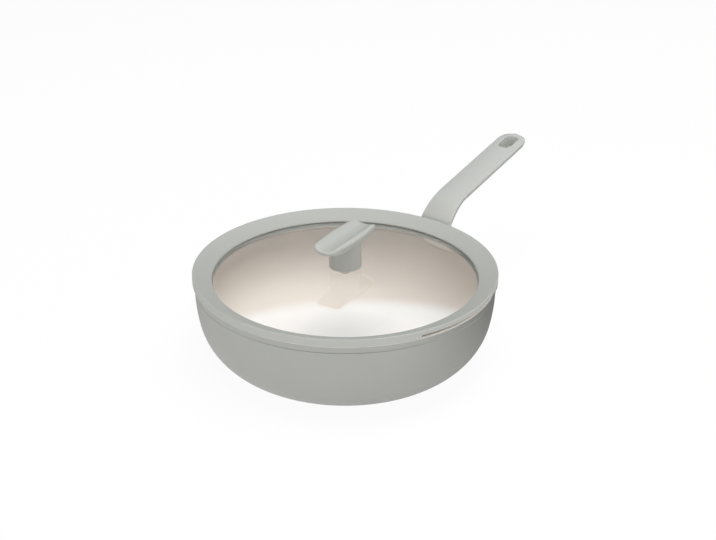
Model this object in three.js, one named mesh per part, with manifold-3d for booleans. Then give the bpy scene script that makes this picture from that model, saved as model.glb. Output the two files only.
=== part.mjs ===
// Deep wok pan with one long handle and a glass lid in a wide silicone rim.
// Millimetres, +Z up. The origin is the middle of the face that the pan stands on,
// and the handle points along +X. The pour slots of the lid look along -Y and +Y.

import * as THREE from 'three';
import { mergeVertices } from 'three/addons/utils/BufferGeometryUtils.js';
import Module from 'manifold-3d';

const wasm = await Module();
wasm.setup();

// Pan bowl
const PAN_HEIGHT = 87.1;
const RIM_RADIUS = 144;
const RIM_BAND_HEIGHT = 6;
const RIM_BAND_STEP = 0.5;
const RIM_ROUND = 2;
const WALL = 4;
const FLOOR = 5;
const BASE_INSET = 62;
const SIDE_CURVE = 60;
const SIDE_SWEEP = 78;

// Steel plate in the base
const PLATE_MARGIN = 9.5;
const PLATE_THICKNESS = 1.6;
const PLATE_PROUD = 0.5;

// Handle, drawn along the middle of its top face
const ROOT_DROP = 0.3;
const NECK_RISE = 60;
const NECK_LENGTH = 6.4;
const BEND_RADIUS = 60;
const GRIP_RISE = 13;
const HANDLE_REACH = 307.5;
const NECK_WIDTH = 37;
const GRIP_WIDTH = 32;
const ROOT_DEPTH = 28;
const NECK_DEPTH = 19;
const GRIP_DEPTH = 13;
const ROOT_BLEND = 14;
const CROWN = 1.2;
const NECK_FULLNESS = 1.5;
const GRIP_FULLNESS = 2;
const END_ROUND = 16;
const END_FULLNESS = 2.4;
const END_THINNING = 0.3;
const HANG_SLOT_LENGTH = 25;
const HANG_SLOT_WIDTH = 16;
const HANG_SLOT_CORNER = 5;
const HANG_SLOT_DRAFT = 16;
const HANG_SLOT_INSET = 19;

// Tongue in the handle's root, and the screw that holds the handle on it
const LUG_LENGTH = 22;
const LUG_WIDTH = 16;
const LUG_THICKNESS = 6;
const LUG_COVER = 4.5;
const HANDLE_SCREW_AT = 12;
const HANDLE_SCREW_RADIUS = 2.5;
const HANDLE_SCREW_HEAD_RADIUS = 4.4;
const HANDLE_SCREW_HEAD_HEIGHT = 2.6;
const HANDLE_SCREW_SEAT = 2.2;
const LOCK_WASHER_THICKNESS = 1;
const LOCK_WASHER_RADIUS = 4.2;

// Lid rim
const LID_OVERHANG = 1.6;
const SKIRT_HEIGHT = 8.4;
const FLANGE_WIDTH = 18.5;
const FLANGE_FALL = 7.35;
const LID_EDGE_ROUND = 1;
const UPPER_LIP = 1.2;
const LOWER_LIP = 3;
const LOWER_REACH = 1.2;
const GLASS_GRIP = 5.3;
const PLUG_CLEARANCE = 0.8;
const PLUG_EASE = 1;
const POUR_SLOT_ROOF = 2;
const POUR_SLOT_SPAN = 49.4;
const POUR_SLOT_INSIDE = 3.5;

// Lid glass
const GLASS = 4;
const DOME_RISE = 9.5;
const GLASS_HOLE_RADIUS = 4.2;

// Knob
const KNOB_TURN = 7;
const KNOB_HEIGHT = 33.4;
const KNOB_LENGTH = 79;
const KNOB_WIDTH = 31;
const KNOB_END_WIDTH = 27.5;
const KNOB_END_ROUND = 8;
const KNOB_TIP_DROP = 1.5;
const KNOB_EDGE = 7;
const KNOB_END_EDGE = 5;
const KNOB_THICKNESS = 11;
const KNOB_END_THICKNESS = 7.5;
const TROUGH_DEPTH = 4;
const TROUGH_LIP = 4.5;
const TROUGH_END_LIP = 3;
const STEM_RADIUS = 15.2;
const STEM_EASE = 0.4;
const INSERT_RADIUS = 4.5;
const INSERT_LENGTH = 14;
const KNOB_SCREW_RADIUS = 2;
const KNOB_SCREW_HEAD_RADIUS = 4.5;
const KNOB_SCREW_HEAD_HEIGHT = 2.8;
const KNOB_SCREW_ENGAGEMENT = 10;
const GASKET_RADIUS = 15.6;
const GASKET_THICKNESS = 0.6;
const SEAL_RADIUS = 10;
const SEAL_THICKNESS = 1.2;
const KNOB_WASHER_RADIUS = 7.5;
const KNOB_WASHER_THICKNESS = 1;

// Clearance between pieces that touch, what a cutter reaches past what it cuts, and how near points merge
const GAP = 0.3;
const PAST = 10;
const WELD = 1e-4;

// Facets
const ROUND = 72;
const STEM_ROUND = 48;
const SMALL_ROUND = 24;
const BOW_STEPS = 5;
const TROUGH_STEPS = 10;
const CORNER_STEPS = 5;
const LOWER_SIDE_STEPS = 8;
const UPPER_SIDE_STEPS = 3;
const DOME_STEPS = 8;
const FILLET_STEPS = 3;
const SECTION_TOP_STEPS = 4;
const SECTION_UNDER_STEPS = 10;
const WALL_STATIONS = 2;
const ROOT_STATIONS = 4;
const BEND_STATIONS = 8;
const GRIP_STATIONS = 3;
const END_STATIONS = 7;
const END_BLUNT = 0.1;

const { degToRad: angle, lerp, mapLinear, smoothstep } = THREE.MathUtils;
const point = (x, y) => new THREE.Vector2(x, y);

// Evenly spaced values from one number up to another, which is left out
const spread = (from, to, steps) => Array.from({ length: steps }, (_, i) => lerp(from, to, i / steps));

// Materials
const matt = (color, roughness) => new THREE.MeshStandardMaterial({ color, roughness, metalness: 0 });
const metal = (color, roughness) => new THREE.MeshStandardMaterial({ color, roughness, metalness: 0.95 });
const coatedGrey = matt(0xa7a8a3, 0.5);
const mouldedGrey = matt(0xb9bab5, 0.55);
const siliconeGrey = matt(0xc1c2bd, 0.6);
const siliconeClear = matt(0xd8d8d4, 0.5);
const bareAluminium = metal(0xb4b5b6, 0.4);
const steel = metal(0x9c9d9f, 0.35);
const brass = metal(0xb59a57, 0.3);
const glass = matt(0xdfe4e0, 0.05);
glass.transparent = true;
glass.opacity = 0.35;

// Solids for joining and cutting

function toSolid(geometry) {
  const bare = new THREE.BufferGeometry();
  bare.setAttribute('position', geometry.getAttribute('position'));
  bare.setIndex(geometry.index);
  const merged = mergeVertices(bare, WELD);
  const corners = merged.index.array;
  const triVerts = [];
  for (let i = 0; i < corners.length; i += 3) {
    const [a, b, c] = corners.slice(i, i + 3);
    if (a !== b && b !== c && c !== a) triVerts.push(a, b, c);
  }
  const vertProperties = merged.getAttribute('position').array;
  const mesh = new wasm.Mesh({ numProp: 3, vertProperties, triVerts: new Uint32Array(triVerts) });
  return new wasm.Manifold(mesh);
}

function toGeometry(solid) {
  const mesh = solid.getMesh();
  const geometry = new THREE.BufferGeometry();
  geometry.setAttribute('position', new THREE.BufferAttribute(mesh.vertProperties, 3));
  geometry.setIndex(new THREE.BufferAttribute(mesh.triVerts, 1));
  geometry.computeVertexNormals();
  return geometry;
}

// Shapes that several pieces share

// Turns an outline of (radius, height) points, drawn anticlockwise, about Z
function turned(outline, segments = ROUND) {
  return new THREE.LatheGeometry(outline, segments).rotateX(Math.PI / 2);
}

function ring(inner, outer, bottom, top, segments = SMALL_ROUND) {
  const corner = point(inner, bottom);
  return turned([corner, point(outer, bottom), point(outer, top), point(inner, top), corner], segments);
}

function rod(radius, bottom, top) {
  const outline = [point(0, bottom), point(radius, bottom), point(radius, top), point(0, top)];
  return turned(outline, SMALL_ROUND);
}

// Extrudes a shape drawn in X and Y from one height to another
function raised(shape, bottom, top) {
  const options = { depth: top - bottom, bevelEnabled: false, curveSegments: SMALL_ROUND };
  return new THREE.ExtrudeGeometry(shape, options).translate(0, 0, bottom);
}

// Replaces a corner of an outline by an arc
function fillet(before, corner, after, radius) {
  const back = before.clone().sub(corner).normalize();
  const ahead = after.clone().sub(corner).normalize();
  const half = Math.acos(back.dot(ahead)) / 2;
  const room = Math.min(before.distanceTo(corner), after.distanceTo(corner)) / 2;
  const reach = Math.min(radius / Math.tan(half), room);
  const centre = back.clone().add(ahead).normalize().multiplyScalar(reach / Math.cos(half)).add(corner);
  const start = back.multiplyScalar(reach).add(corner).sub(centre);
  const turn = Math.PI - 2 * half;
  const steps = [...spread(0, turn, FILLET_STEPS), turn];
  return steps.map((step) => start.clone().rotateAround(point(0, 0), step).add(centre));
}

// Joins cross-sections with equal numbers of points into one closed body
function loft(sections) {
  const count = sections[0].length;
  const last = (sections.length - 1) * count;
  const vertices = sections.flat();
  const index = [];
  for (let i = 0; i < last; i += count) {
    for (let j = 0; j < count; j++) {
      const k = (j + 1) % count;
      index.push(i + j, i + count + j, i + count + k, i + j, i + count + k, i + k);
    }
  }
  for (let j = 1; j < count - 1; j++) {
    index.push(0, j, j + 1, last, last + j + 1, last + j);
  }
  const geometry = new THREE.BufferGeometry().setFromPoints(vertices);
  geometry.setIndex(index);
  return geometry;
}

// Pan bowl

// A side that leaves a flat at (r0, z0), turns up on one arc and runs to (r1, z1) on a second, tangent arc
function sideCurve(r0, z0, radius, r1, z1) {
  const sweep = angle(SIDE_SWEEP);
  const joint = point(r0 + radius * Math.sin(sweep), z0 + radius * (1 - Math.cos(sweep)));
  const along = point(Math.cos(sweep), Math.sin(sweep));
  const across = point(-along.y, along.x);
  const chord = point(r1, z1).sub(joint);
  const turn = 2 * Math.atan2(chord.dot(across), chord.dot(along));
  const upperRadius = chord.length() / (2 * Math.sin(turn / 2));
  const curve = [];
  for (let i = 0; i <= LOWER_SIDE_STEPS; i++) {
    const at = (sweep * i) / LOWER_SIDE_STEPS;
    curve.push(point(r0 + radius * Math.sin(at), z0 + radius * (1 - Math.cos(at))));
  }
  for (let i = 1; i <= UPPER_SIDE_STEPS; i++) {
    const at = (turn * i) / UPPER_SIDE_STEPS;
    const step = along.clone().multiplyScalar(upperRadius * Math.sin(at));
    curve.push(step.addScaledVector(across, upperRadius * (1 - Math.cos(at))).add(joint));
  }
  return curve;
}

const bandBottom = PAN_HEIGHT - RIM_BAND_HEIGHT;
const wallTopRadius = RIM_RADIUS - RIM_BAND_STEP;
const mouthRadius = wallTopRadius - WALL;
const baseRadius = wallTopRadius - BASE_INSET;
const plateRadius = baseRadius - PLATE_MARGIN;
const floorHeight = PLATE_PROUD + FLOOR;
const outerSide = sideCurve(baseRadius, PLATE_PROUD, SIDE_CURVE, wallTopRadius, bandBottom);
const innerSide = sideCurve(baseRadius, floorHeight, SIDE_CURVE - WALL, mouthRadius, PAN_HEIGHT - RIM_ROUND);

// Radius of the outside of the wall at a height
function wallRadius(height) {
  const above = outerSide.findIndex((p) => p.y >= height);
  const [low, high] = [outerSide[above - 1], outerSide[above]];
  return mapLinear(height, low.y, high.y, low.x, high.x);
}

function panBody() {
  const recessRadius = plateRadius + GAP;
  const recessTop = PLATE_THICKNESS + GAP;
  const bandFoot = point(RIM_RADIUS, bandBottom);
  const rimOutside = point(RIM_RADIUS, PAN_HEIGHT);
  const rimInside = point(mouthRadius, PAN_HEIGHT);
  const mouthFoot = point(mouthRadius, floorHeight);
  return turned([
    point(0, recessTop),
    point(recessRadius, recessTop),
    point(recessRadius, PLATE_PROUD),
    ...outerSide,
    bandFoot,
    ...fillet(bandFoot, rimOutside, rimInside, RIM_ROUND),
    ...fillet(rimOutside, rimInside, mouthFoot, RIM_ROUND),
    ...innerSide.slice(0, -1).reverse(),
    point(0, floorHeight),
  ]);
}

function inductionPlate() {
  const outline = [
    point(0, 0),
    point(plateRadius, 0),
    point(plateRadius, PLATE_THICKNESS),
    point(0, PLATE_THICKNESS),
  ];
  return turned(outline);
}

// The bowl filled up and grown by the clearance, which trims what is fixed to its wall
function panKeepout() {
  const grown = outerSide.map((p) => point(p.x + GAP, p.y));
  const bandRadius = RIM_RADIUS + GAP;
  return toSolid(turned([
    point(0, PLATE_PROUD),
    ...grown,
    point(bandRadius, bandBottom - GAP),
    point(bandRadius, PAN_HEIGHT),
    point(0, PAN_HEIGHT),
  ]));
}

// Handle

const neckRise = angle(NECK_RISE);
const gripRise = angle(GRIP_RISE);
const heading = (rise) => point(Math.cos(rise), Math.sin(rise));
const below = (rise) => point(Math.sin(rise), -Math.cos(rise));
const rootHeight = bandBottom - ROOT_DROP;
const root = point(wallRadius(rootHeight), rootHeight);
const bendStart = root.clone().addScaledVector(heading(neckRise), NECK_LENGTH);
const bendCentre = bendStart.clone().addScaledVector(below(neckRise), BEND_RADIUS);
const bendLength = BEND_RADIUS * (neckRise - gripRise);
const bendEnd = bendCentre.clone().addScaledVector(below(gripRise), -BEND_RADIUS);
const gripLength = (HANDLE_REACH - bendEnd.x) / Math.cos(gripRise);
const gripStart = NECK_LENGTH + bendLength;
const handleLength = gripStart + gripLength;
const rootOverlap = WALL + NECK_LENGTH;

// Place and slope of the handle's top line at a length from the wall
function handleLine(length) {
  if (length < NECK_LENGTH) {
    return { at: root.clone().addScaledVector(heading(neckRise), length), rise: neckRise };
  }
  if (length < gripStart) {
    const rise = neckRise - (length - NECK_LENGTH) / BEND_RADIUS;
    return { at: bendCentre.clone().addScaledVector(below(rise), -BEND_RADIUS), rise };
  }
  return { at: bendEnd.clone().addScaledVector(heading(gripRise), length - gripStart), rise: gripRise };
}

// Cross-section at a length from the wall: a crowned top with crisp edges over a rounded underside
function handleSection(length) {
  const { at, rise } = handleLine(length);
  const towardGrip = smoothstep(length, 0, gripStart);
  const offRoot = smoothstep(length, 0, ROOT_BLEND);
  const offNeck = smoothstep(length, ROOT_BLEND, gripStart);
  const down = below(rise * offRoot);
  const endRun = Math.max(0, (length - handleLength + END_ROUND) / END_ROUND);
  const endShare = (1 - endRun ** END_FULLNESS) ** (1 / END_FULLNESS);
  const half = (lerp(NECK_WIDTH, GRIP_WIDTH, towardGrip) / 2) * endShare;
  const fullDepth = lerp(lerp(ROOT_DEPTH, NECK_DEPTH, offRoot), GRIP_DEPTH, offNeck);
  const depth = fullDepth * (1 - END_THINNING * endRun ** 2);
  const power = 2 / lerp(NECK_FULLNESS, GRIP_FULLNESS, towardGrip);
  const section = [];
  const add = (side, drop) => {
    section.push(new THREE.Vector3(at.x + down.x * drop, side, at.y + down.y * drop));
  };
  for (let i = 0; i <= SECTION_TOP_STEPS; i++) {
    const across = (2 * i) / SECTION_TOP_STEPS - 1;
    add(half * across, CROWN * across ** 2);
  }
  for (let i = 1; i < SECTION_UNDER_STEPS; i++) {
    const around = (Math.PI * i) / SECTION_UNDER_STEPS;
    const side = Math.sign(Math.cos(around)) * Math.abs(Math.cos(around)) ** power;
    add(half * side, CROWN + (depth - CROWN) * Math.sin(around) ** power);
  }
  return section;
}

// Lengths from the wall at which the handle's sections stand
function handleStations() {
  const endStart = handleLength - END_ROUND;
  const endTurns = spread(0, Math.acos(END_BLUNT), END_STATIONS);
  return [
    ...spread(-rootOverlap, 0, WALL_STATIONS),
    ...spread(0, ROOT_BLEND, ROOT_STATIONS),
    ...spread(ROOT_BLEND, gripStart, BEND_STATIONS),
    ...spread(gripStart, endStart, GRIP_STATIONS),
    ...endTurns.map((turn) => endStart + END_ROUND * Math.sin(turn)),
    endStart + END_ROUND * Math.sin(Math.acos(END_BLUNT)),
  ];
}

// Frames on the neck and the grip: X along the handle, Z out of its top
function frameOn(at, rise) {
  const up = below(rise).negate();
  const frame = new THREE.Matrix4().makeBasis(
    new THREE.Vector3(Math.cos(rise), 0, Math.sin(rise)),
    new THREE.Vector3(0, 1, 0),
    new THREE.Vector3(up.x, 0, up.y),
  );
  return frame.setPosition(at.x, 0, at.y);
}

const neckFrame = frameOn(root, neckRise);

// Depths below the neck's top line, along the handle screw
const lugTop = LUG_COVER;
const lugBottom = LUG_COVER + LUG_THICKNESS;
const screwSeat = lugBottom + GAP + HANDLE_SCREW_SEAT;
const washerTop = screwSeat + GAP;
const headTop = washerTop + LOCK_WASHER_THICKNESS + GAP;
const headBottom = headTop + HANDLE_SCREW_HEAD_HEIGHT;

// The tongue runs back past the root far enough to meet the wall all over
function tongue(clearance) {
  const length = LUG_LENGTH + ROOT_DEPTH + clearance;
  const box = new THREE.BoxGeometry(length, LUG_WIDTH + 2 * clearance, LUG_THICKNESS + 2 * clearance);
  box.translate(length / 2 - ROOT_DEPTH, 0, -(lugTop + lugBottom) / 2);
  return toSolid(box.applyMatrix4(neckFrame));
}

function onScrewAxis(geometry) {
  return geometry.translate(HANDLE_SCREW_AT, 0, 0).applyMatrix4(neckFrame);
}

function screwHole(radius, fromDepth, toDepth) {
  return toSolid(onScrewAxis(rod(radius, -toDepth, -fromDepth)));
}

function roundedRectangle(length, width, corner) {
  const [x, y] = [length / 2 - corner, width / 2 - corner];
  const shape = new THREE.Shape();
  shape.absarc(x, y, corner, 0, Math.PI / 2);
  shape.absarc(-x, y, corner, Math.PI / 2, Math.PI);
  shape.absarc(-x, -y, corner, Math.PI, 1.5 * Math.PI);
  shape.absarc(x, -y, corner, 1.5 * Math.PI, 2 * Math.PI);
  return shape;
}

// The hanging slot narrows towards the underside
function hangSlot() {
  const { at, rise } = handleLine(handleLength - HANG_SLOT_INSET);
  const lean = Math.tan(angle(HANG_SLOT_DRAFT));
  const outlineAt = (height) => {
    const wider = 2 * lean * height;
    const [length, width] = [HANG_SLOT_LENGTH + wider, HANG_SLOT_WIDTH + wider];
    const corner = (HANG_SLOT_CORNER * width) / HANG_SLOT_WIDTH;
    const outline = roundedRectangle(length, width, corner).getPoints(CORNER_STEPS);
    return outline.map((p) => new THREE.Vector3(p.x, p.y, height));
  };
  const cutter = loft([outlineAt(GAP), outlineAt(-GRIP_DEPTH - GAP)]);
  return toSolid(cutter.applyMatrix4(frameOn(at, rise)));
}

function handleGrip() {
  const boreTop = lugTop - GAP;
  const solid = toSolid(loft(handleStations().map(handleSection)))
    .subtract(panKeepout())
    .subtract(tongue(GAP))
    .subtract(screwHole(HANDLE_SCREW_RADIUS + GAP, boreTop, screwSeat + GAP))
    .subtract(screwHole(HANDLE_SCREW_HEAD_RADIUS + GAP, screwSeat, headBottom + PAST))
    .subtract(hangSlot());
  return toGeometry(solid);
}

function handleLug() {
  const bore = screwHole(HANDLE_SCREW_RADIUS + GAP, lugTop - PAST, lugBottom + PAST);
  return toGeometry(tongue(0).subtract(panKeepout()).subtract(bore));
}

function handleLockWasher() {
  const bore = HANDLE_SCREW_RADIUS + GAP;
  return onScrewAxis(ring(bore, LOCK_WASHER_RADIUS, -washerTop - LOCK_WASHER_THICKNESS, -washerTop));
}

function handleScrew() {
  return onScrewAxis(turned([
    point(0, -headBottom),
    point(HANDLE_SCREW_HEAD_RADIUS, -headBottom),
    point(HANDLE_SCREW_HEAD_RADIUS, -headTop),
    point(HANDLE_SCREW_RADIUS, -headTop),
    point(HANDLE_SCREW_RADIUS, -lugTop),
    point(0, -lugTop),
  ], SMALL_ROUND));
}

// Lid

const lidRadius = RIM_RADIUS + LID_OVERHANG;
const flangeInner = lidRadius - FLANGE_WIDTH;
const seatHeight = PAN_HEIGHT + GAP;
const lidEdgeHeight = seatHeight + SKIRT_HEIGHT;
const flangeInnerHeight = lidEdgeHeight - FLANGE_FALL;
const flangeHeight = (radius) => flangeInnerHeight + (FLANGE_FALL * (radius - flangeInner)) / FLANGE_WIDTH;
const glassEdgeHeight = flangeInnerHeight - UPPER_LIP - GAP;
const domeRadius = (flangeInner ** 2 + DOME_RISE ** 2) / (2 * DOME_RISE);
const domeCentreHeight = glassEdgeHeight + DOME_RISE - domeRadius;
const glassTop = (radius) => domeCentreHeight + Math.sqrt(domeRadius ** 2 - radius ** 2);
const glassUnder = (radius) => domeCentreHeight + Math.sqrt((domeRadius - GLASS) ** 2 - radius ** 2);
const grooveRadius = flangeInner + GLASS_GRIP;
const plugRadius = mouthRadius - PLUG_CLEARANCE;
const plugBottom = glassUnder(grooveRadius) - GAP - LOWER_LIP;
const lowerInner = flangeInner - LOWER_REACH;

// A cut through the skirt and the outside of the plug, under a roof that follows the flange
function pourSlot(towards) {
  const half = angle(POUR_SLOT_SPAN / 2);
  const inside = plugRadius - POUR_SLOT_INSIDE;
  const outside = lidRadius + PAST;
  const bottom = plugBottom - PAST;
  const roof = flangeHeight(plugRadius) - POUR_SLOT_ROOF;
  const corner = point(inside, bottom);
  const band = turned([
    corner,
    point(outside, bottom),
    point(outside, roof),
    point(plugRadius, roof),
    point(inside, flangeHeight(inside) - POUR_SLOT_ROOF),
    corner,
  ]);
  const sector = new THREE.Shape();
  sector.absarc(0, 0, outside + PAST, towards - half, towards + half);
  sector.lineTo(0, 0);
  return toSolid(band).intersect(toSolid(raised(sector, bottom - PAST, roof + PAST)));
}

function lidRim() {
  const innerEdge = point(flangeInner, flangeInnerHeight);
  const outerEdge = point(lidRadius, lidEdgeHeight);
  const skirtBottom = point(lidRadius, seatHeight);
  const outline = [
    point(lowerInner, glassUnder(lowerInner) - GAP - LOWER_LIP),
    point(grooveRadius, plugBottom),
    point(plugRadius - PLUG_EASE, plugBottom),
    point(plugRadius, plugBottom + PLUG_EASE),
    point(plugRadius, seatHeight),
    skirtBottom,
    ...fillet(skirtBottom, outerEdge, innerEdge, LID_EDGE_ROUND),
    innerEdge,
    point(flangeInner, glassTop(flangeInner) + GAP),
    point(grooveRadius, glassTop(grooveRadius) + GAP),
    point(grooveRadius, glassUnder(grooveRadius) - GAP),
    point(lowerInner, glassUnder(lowerInner) - GAP),
  ];
  const whole = toSolid(turned([...outline, outline[0]]));
  return toGeometry(whole.subtract(pourSlot(-Math.PI / 2)).subtract(pourSlot(Math.PI / 2)));
}

function lidGlass() {
  const edge = grooveRadius - GAP;
  const radii = [...spread(GLASS_HOLE_RADIUS, edge, DOME_STEPS), edge];
  const under = radii.map((radius) => point(radius, glassUnder(radius)));
  const top = radii.map((radius) => point(radius, glassTop(radius))).reverse();
  return turned([...under, ...top, under[0]]);
}

// Knob, drawn on the lid's axis with its long way along X

const gasketBottom = glassTop(0);
const stemBottom = gasketBottom + GASKET_THICKNESS;
const knobTop = gasketBottom + KNOB_HEIGHT;
const sealTop = glassUnder(SEAL_RADIUS) - GAP;
const knobWasherTop = sealTop - SEAL_THICKNESS;
const knobScrewHeadTop = knobWasherTop - KNOB_WASHER_THICKNESS;

// Half of a width that bows from the plate's middle to the start of its rounded corners
const cornerStart = KNOB_LENGTH / 2 - KNOB_END_ROUND;
const bowedHalf = (middle, end, along) => lerp(middle, end, (along / cornerStart) ** 2) / 2;

// Places along the plate, with its half-width there and how far the top has dropped
function plateStations() {
  const bowed = spread(0, cornerStart, BOW_STEPS).map((along) => {
    return { along, half: bowedHalf(KNOB_WIDTH, KNOB_END_WIDTH, along), drop: 0 };
  });
  const rounded = [...spread(0, Math.PI / 2, CORNER_STEPS), Math.PI / 2].map((turn) => {
    const inset = 1 - Math.cos(turn);
    const along = cornerStart + KNOB_END_ROUND * Math.sin(turn);
    return { along, half: KNOB_END_WIDTH / 2 - KNOB_END_ROUND * inset, drop: KNOB_TIP_DROP * inset };
  });
  const side = [...bowed, ...rounded];
  const otherSide = side.slice(1).reverse().map((station) => ({ ...station, along: -station.along }));
  return [...otherSide, ...side];
}

// Cross-section of the plate: flat top, upright edges and a half ellipse below
function plateSection({ along, half, drop }) {
  const towardEnd = ((2 * along) / KNOB_LENGTH) ** 2;
  const edge = lerp(KNOB_EDGE, KNOB_END_EDGE, towardEnd);
  const thickness = lerp(KNOB_THICKNESS, KNOB_END_THICKNESS, towardEnd);
  const under = [...spread(0, Math.PI, SECTION_UNDER_STEPS), Math.PI].map((turn) => {
    const depth = edge + (thickness - edge) * Math.sin(turn);
    return new THREE.Vector3(along, half * Math.cos(turn), knobTop - depth);
  });
  const top = knobTop - drop;
  return [new THREE.Vector3(along, -half, top), new THREE.Vector3(along, half, top), ...under];
}

// Cross-section of the trough in its top, open above
function troughSection(along) {
  const half = bowedHalf(KNOB_WIDTH - 2 * TROUGH_LIP, KNOB_END_WIDTH - 2 * TROUGH_END_LIP, along);
  const floor = [...spread(1, -1, TROUGH_STEPS), -1].map((side) => {
    return new THREE.Vector3(along, half * side, knobTop - TROUGH_DEPTH * (1 - side ** 2));
  });
  const open = knobTop + PAST;
  return [new THREE.Vector3(along, -half, open), new THREE.Vector3(along, half, open), ...floor];
}

function knobTrough() {
  const reach = KNOB_LENGTH / 2 + PAST;
  return loft([...spread(-reach, reach, 2 * BOW_STEPS), reach].map(troughSection));
}

function knobBody() {
  const stemTop = knobTop - (KNOB_THICKNESS + TROUGH_DEPTH) / 2;
  const stem = toSolid(turned([
    point(0, stemBottom),
    point(STEM_RADIUS - STEM_EASE, stemBottom),
    point(STEM_RADIUS, stemBottom + STEM_EASE),
    point(STEM_RADIUS, stemTop),
    point(0, stemTop),
  ], STEM_ROUND));
  const plate = toSolid(loft(plateStations().map(plateSection)));
  const socket = toSolid(rod(INSERT_RADIUS + GAP, stemBottom - PAST, stemBottom + INSERT_LENGTH + GAP));
  return toGeometry(plate.add(stem).subtract(toSolid(knobTrough())).subtract(socket));
}

function knobInsert() {
  return ring(KNOB_SCREW_RADIUS + GAP, INSERT_RADIUS, stemBottom, stemBottom + INSERT_LENGTH);
}

function knobGasket() {
  return ring(GLASS_HOLE_RADIUS, GASKET_RADIUS, gasketBottom, stemBottom);
}

function knobSeal() {
  return ring(KNOB_SCREW_RADIUS + GAP, SEAL_RADIUS, knobWasherTop, sealTop);
}

function knobWasher() {
  return ring(KNOB_SCREW_RADIUS + GAP, KNOB_WASHER_RADIUS, knobScrewHeadTop, knobWasherTop);
}

function knobScrew() {
  const headBottom = knobScrewHeadTop - KNOB_SCREW_HEAD_HEIGHT;
  return turned([
    point(0, headBottom),
    point(KNOB_SCREW_HEAD_RADIUS, headBottom),
    point(KNOB_SCREW_HEAD_RADIUS, knobScrewHeadTop),
    point(KNOB_SCREW_RADIUS, knobScrewHeadTop),
    point(KNOB_SCREW_RADIUS, stemBottom + KNOB_SCREW_ENGAGEMENT),
    point(0, stemBottom + KNOB_SCREW_ENGAGEMENT),
  ], SMALL_ROUND);
}

// Assembly

function piece(name, geometry, material) {
  const mesh = new THREE.Mesh(geometry, material);
  mesh.name = name;
  return mesh;
}

const pan = new THREE.Group().add(
  piece('pan_body', panBody(), coatedGrey),
  piece('induction_plate', inductionPlate(), steel),
  piece('handle_lug', handleLug(), bareAluminium),
  piece('handle_grip', handleGrip(), mouldedGrey),
  piece('handle_lock_washer', handleLockWasher(), steel),
  piece('handle_screw', handleScrew(), steel),
);

const knob = new THREE.Group().add(
  piece('knob_body', knobBody(), mouldedGrey),
  piece('knob_insert', knobInsert(), brass),
  piece('knob_gasket', knobGasket(), siliconeClear),
  piece('knob_seal', knobSeal(), siliconeClear),
  piece('knob_washer', knobWasher(), steel),
  piece('knob_screw', knobScrew(), steel),
);
knob.rotation.z = angle(KNOB_TURN);

const lid = new THREE.Group().add(
  piece('lid_rim', lidRim(), siliconeGrey),
  piece('lid_glass', lidGlass(), glass),
  knob,
);

const wok = new THREE.Group().add(pan, lid);

export default wok;
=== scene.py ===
"""Dresses the wok with lid: its modelled surfaces, its finishes, the studio and the camera."""

import math

import bmesh
import bpy
from bpy.props import FloatProperty, FloatVectorProperty, PointerProperty
from bpy.types import Operator, Panel, PropertyGroup
from mathutils import Matrix, Vector


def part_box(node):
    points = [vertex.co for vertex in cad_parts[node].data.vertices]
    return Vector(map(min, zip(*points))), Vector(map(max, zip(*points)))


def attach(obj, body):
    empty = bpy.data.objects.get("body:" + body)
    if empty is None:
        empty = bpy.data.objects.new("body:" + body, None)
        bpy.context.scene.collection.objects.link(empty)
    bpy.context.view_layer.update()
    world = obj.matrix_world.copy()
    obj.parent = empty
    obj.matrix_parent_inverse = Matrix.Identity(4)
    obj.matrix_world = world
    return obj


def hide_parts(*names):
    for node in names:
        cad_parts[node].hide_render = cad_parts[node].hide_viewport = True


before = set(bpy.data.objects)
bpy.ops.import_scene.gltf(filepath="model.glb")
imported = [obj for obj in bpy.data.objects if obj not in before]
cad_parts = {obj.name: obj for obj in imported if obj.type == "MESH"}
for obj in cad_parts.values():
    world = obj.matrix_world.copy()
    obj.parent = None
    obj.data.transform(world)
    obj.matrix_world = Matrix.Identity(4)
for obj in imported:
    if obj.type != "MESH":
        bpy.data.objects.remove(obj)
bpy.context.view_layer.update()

bl_info = {
    "name": "Wok with lid",
    "version": (1, 0, 0),
    "blender": (4, 5, 0),
    "location": "3D View > Sidebar > Wok",
    "description": "Models and finishes a coated wok, its handle and its glass lid",
    "category": "Object",
}

# Boxes of the frame's own nodes, from which the sizes below start
PAN_LOW, PAN_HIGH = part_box("pan_body")
PLATE_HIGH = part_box("induction_plate")[1]
RIM_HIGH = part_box("lid_rim")[1]
GLASS_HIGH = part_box("lid_glass")[1]
KNOB_LOW, KNOB_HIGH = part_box("knob_body")
INSERT_LOW, INSERT_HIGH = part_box("knob_insert")
GASKET_LOW, GASKET_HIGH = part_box("knob_gasket")
SEAL_LOW, SEAL_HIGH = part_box("knob_seal")
WASHER_LOW, WASHER_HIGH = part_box("knob_washer")
SCREW_LOW, SCREW_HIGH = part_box("knob_screw")

# The photograph's frame, in pixels, and Blender's sensor width, in millimetres
PHOTO_WIDTH = 716
SENSOR_WIDTH = 36.0

# Clearance between pieces that touch, what cutters reach past what they cut, and how near points merge
GAP = 0.0003
PAST = 0.01
SLOT_PAST = PAST / 4
WELD = 1e-6

# Share of a rounded end over which its slope is measured
SLOPE_STEP = 1e-4

# Facets round a full turn
ROUND = 192
STEM_ROUND = 128
SMALL_ROUND = 64

# Facets of rounded corners, and the angle from which an edge stays sharp
CORNER_STEPS = 4
FINE_CORNER_STEPS = 8
SHARP_ANGLE = math.radians(38)


# Sizes and colours


def length(name, description, default):
    return FloatProperty(name=name, description=description, default=default, min=0.0, precision=5,
                         subtype="DISTANCE", unit="LENGTH")


def turn(name, description, degrees):
    return FloatProperty(name=name, description=description, default=math.radians(degrees),
                         subtype="ANGLE", unit="ROTATION")


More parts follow.
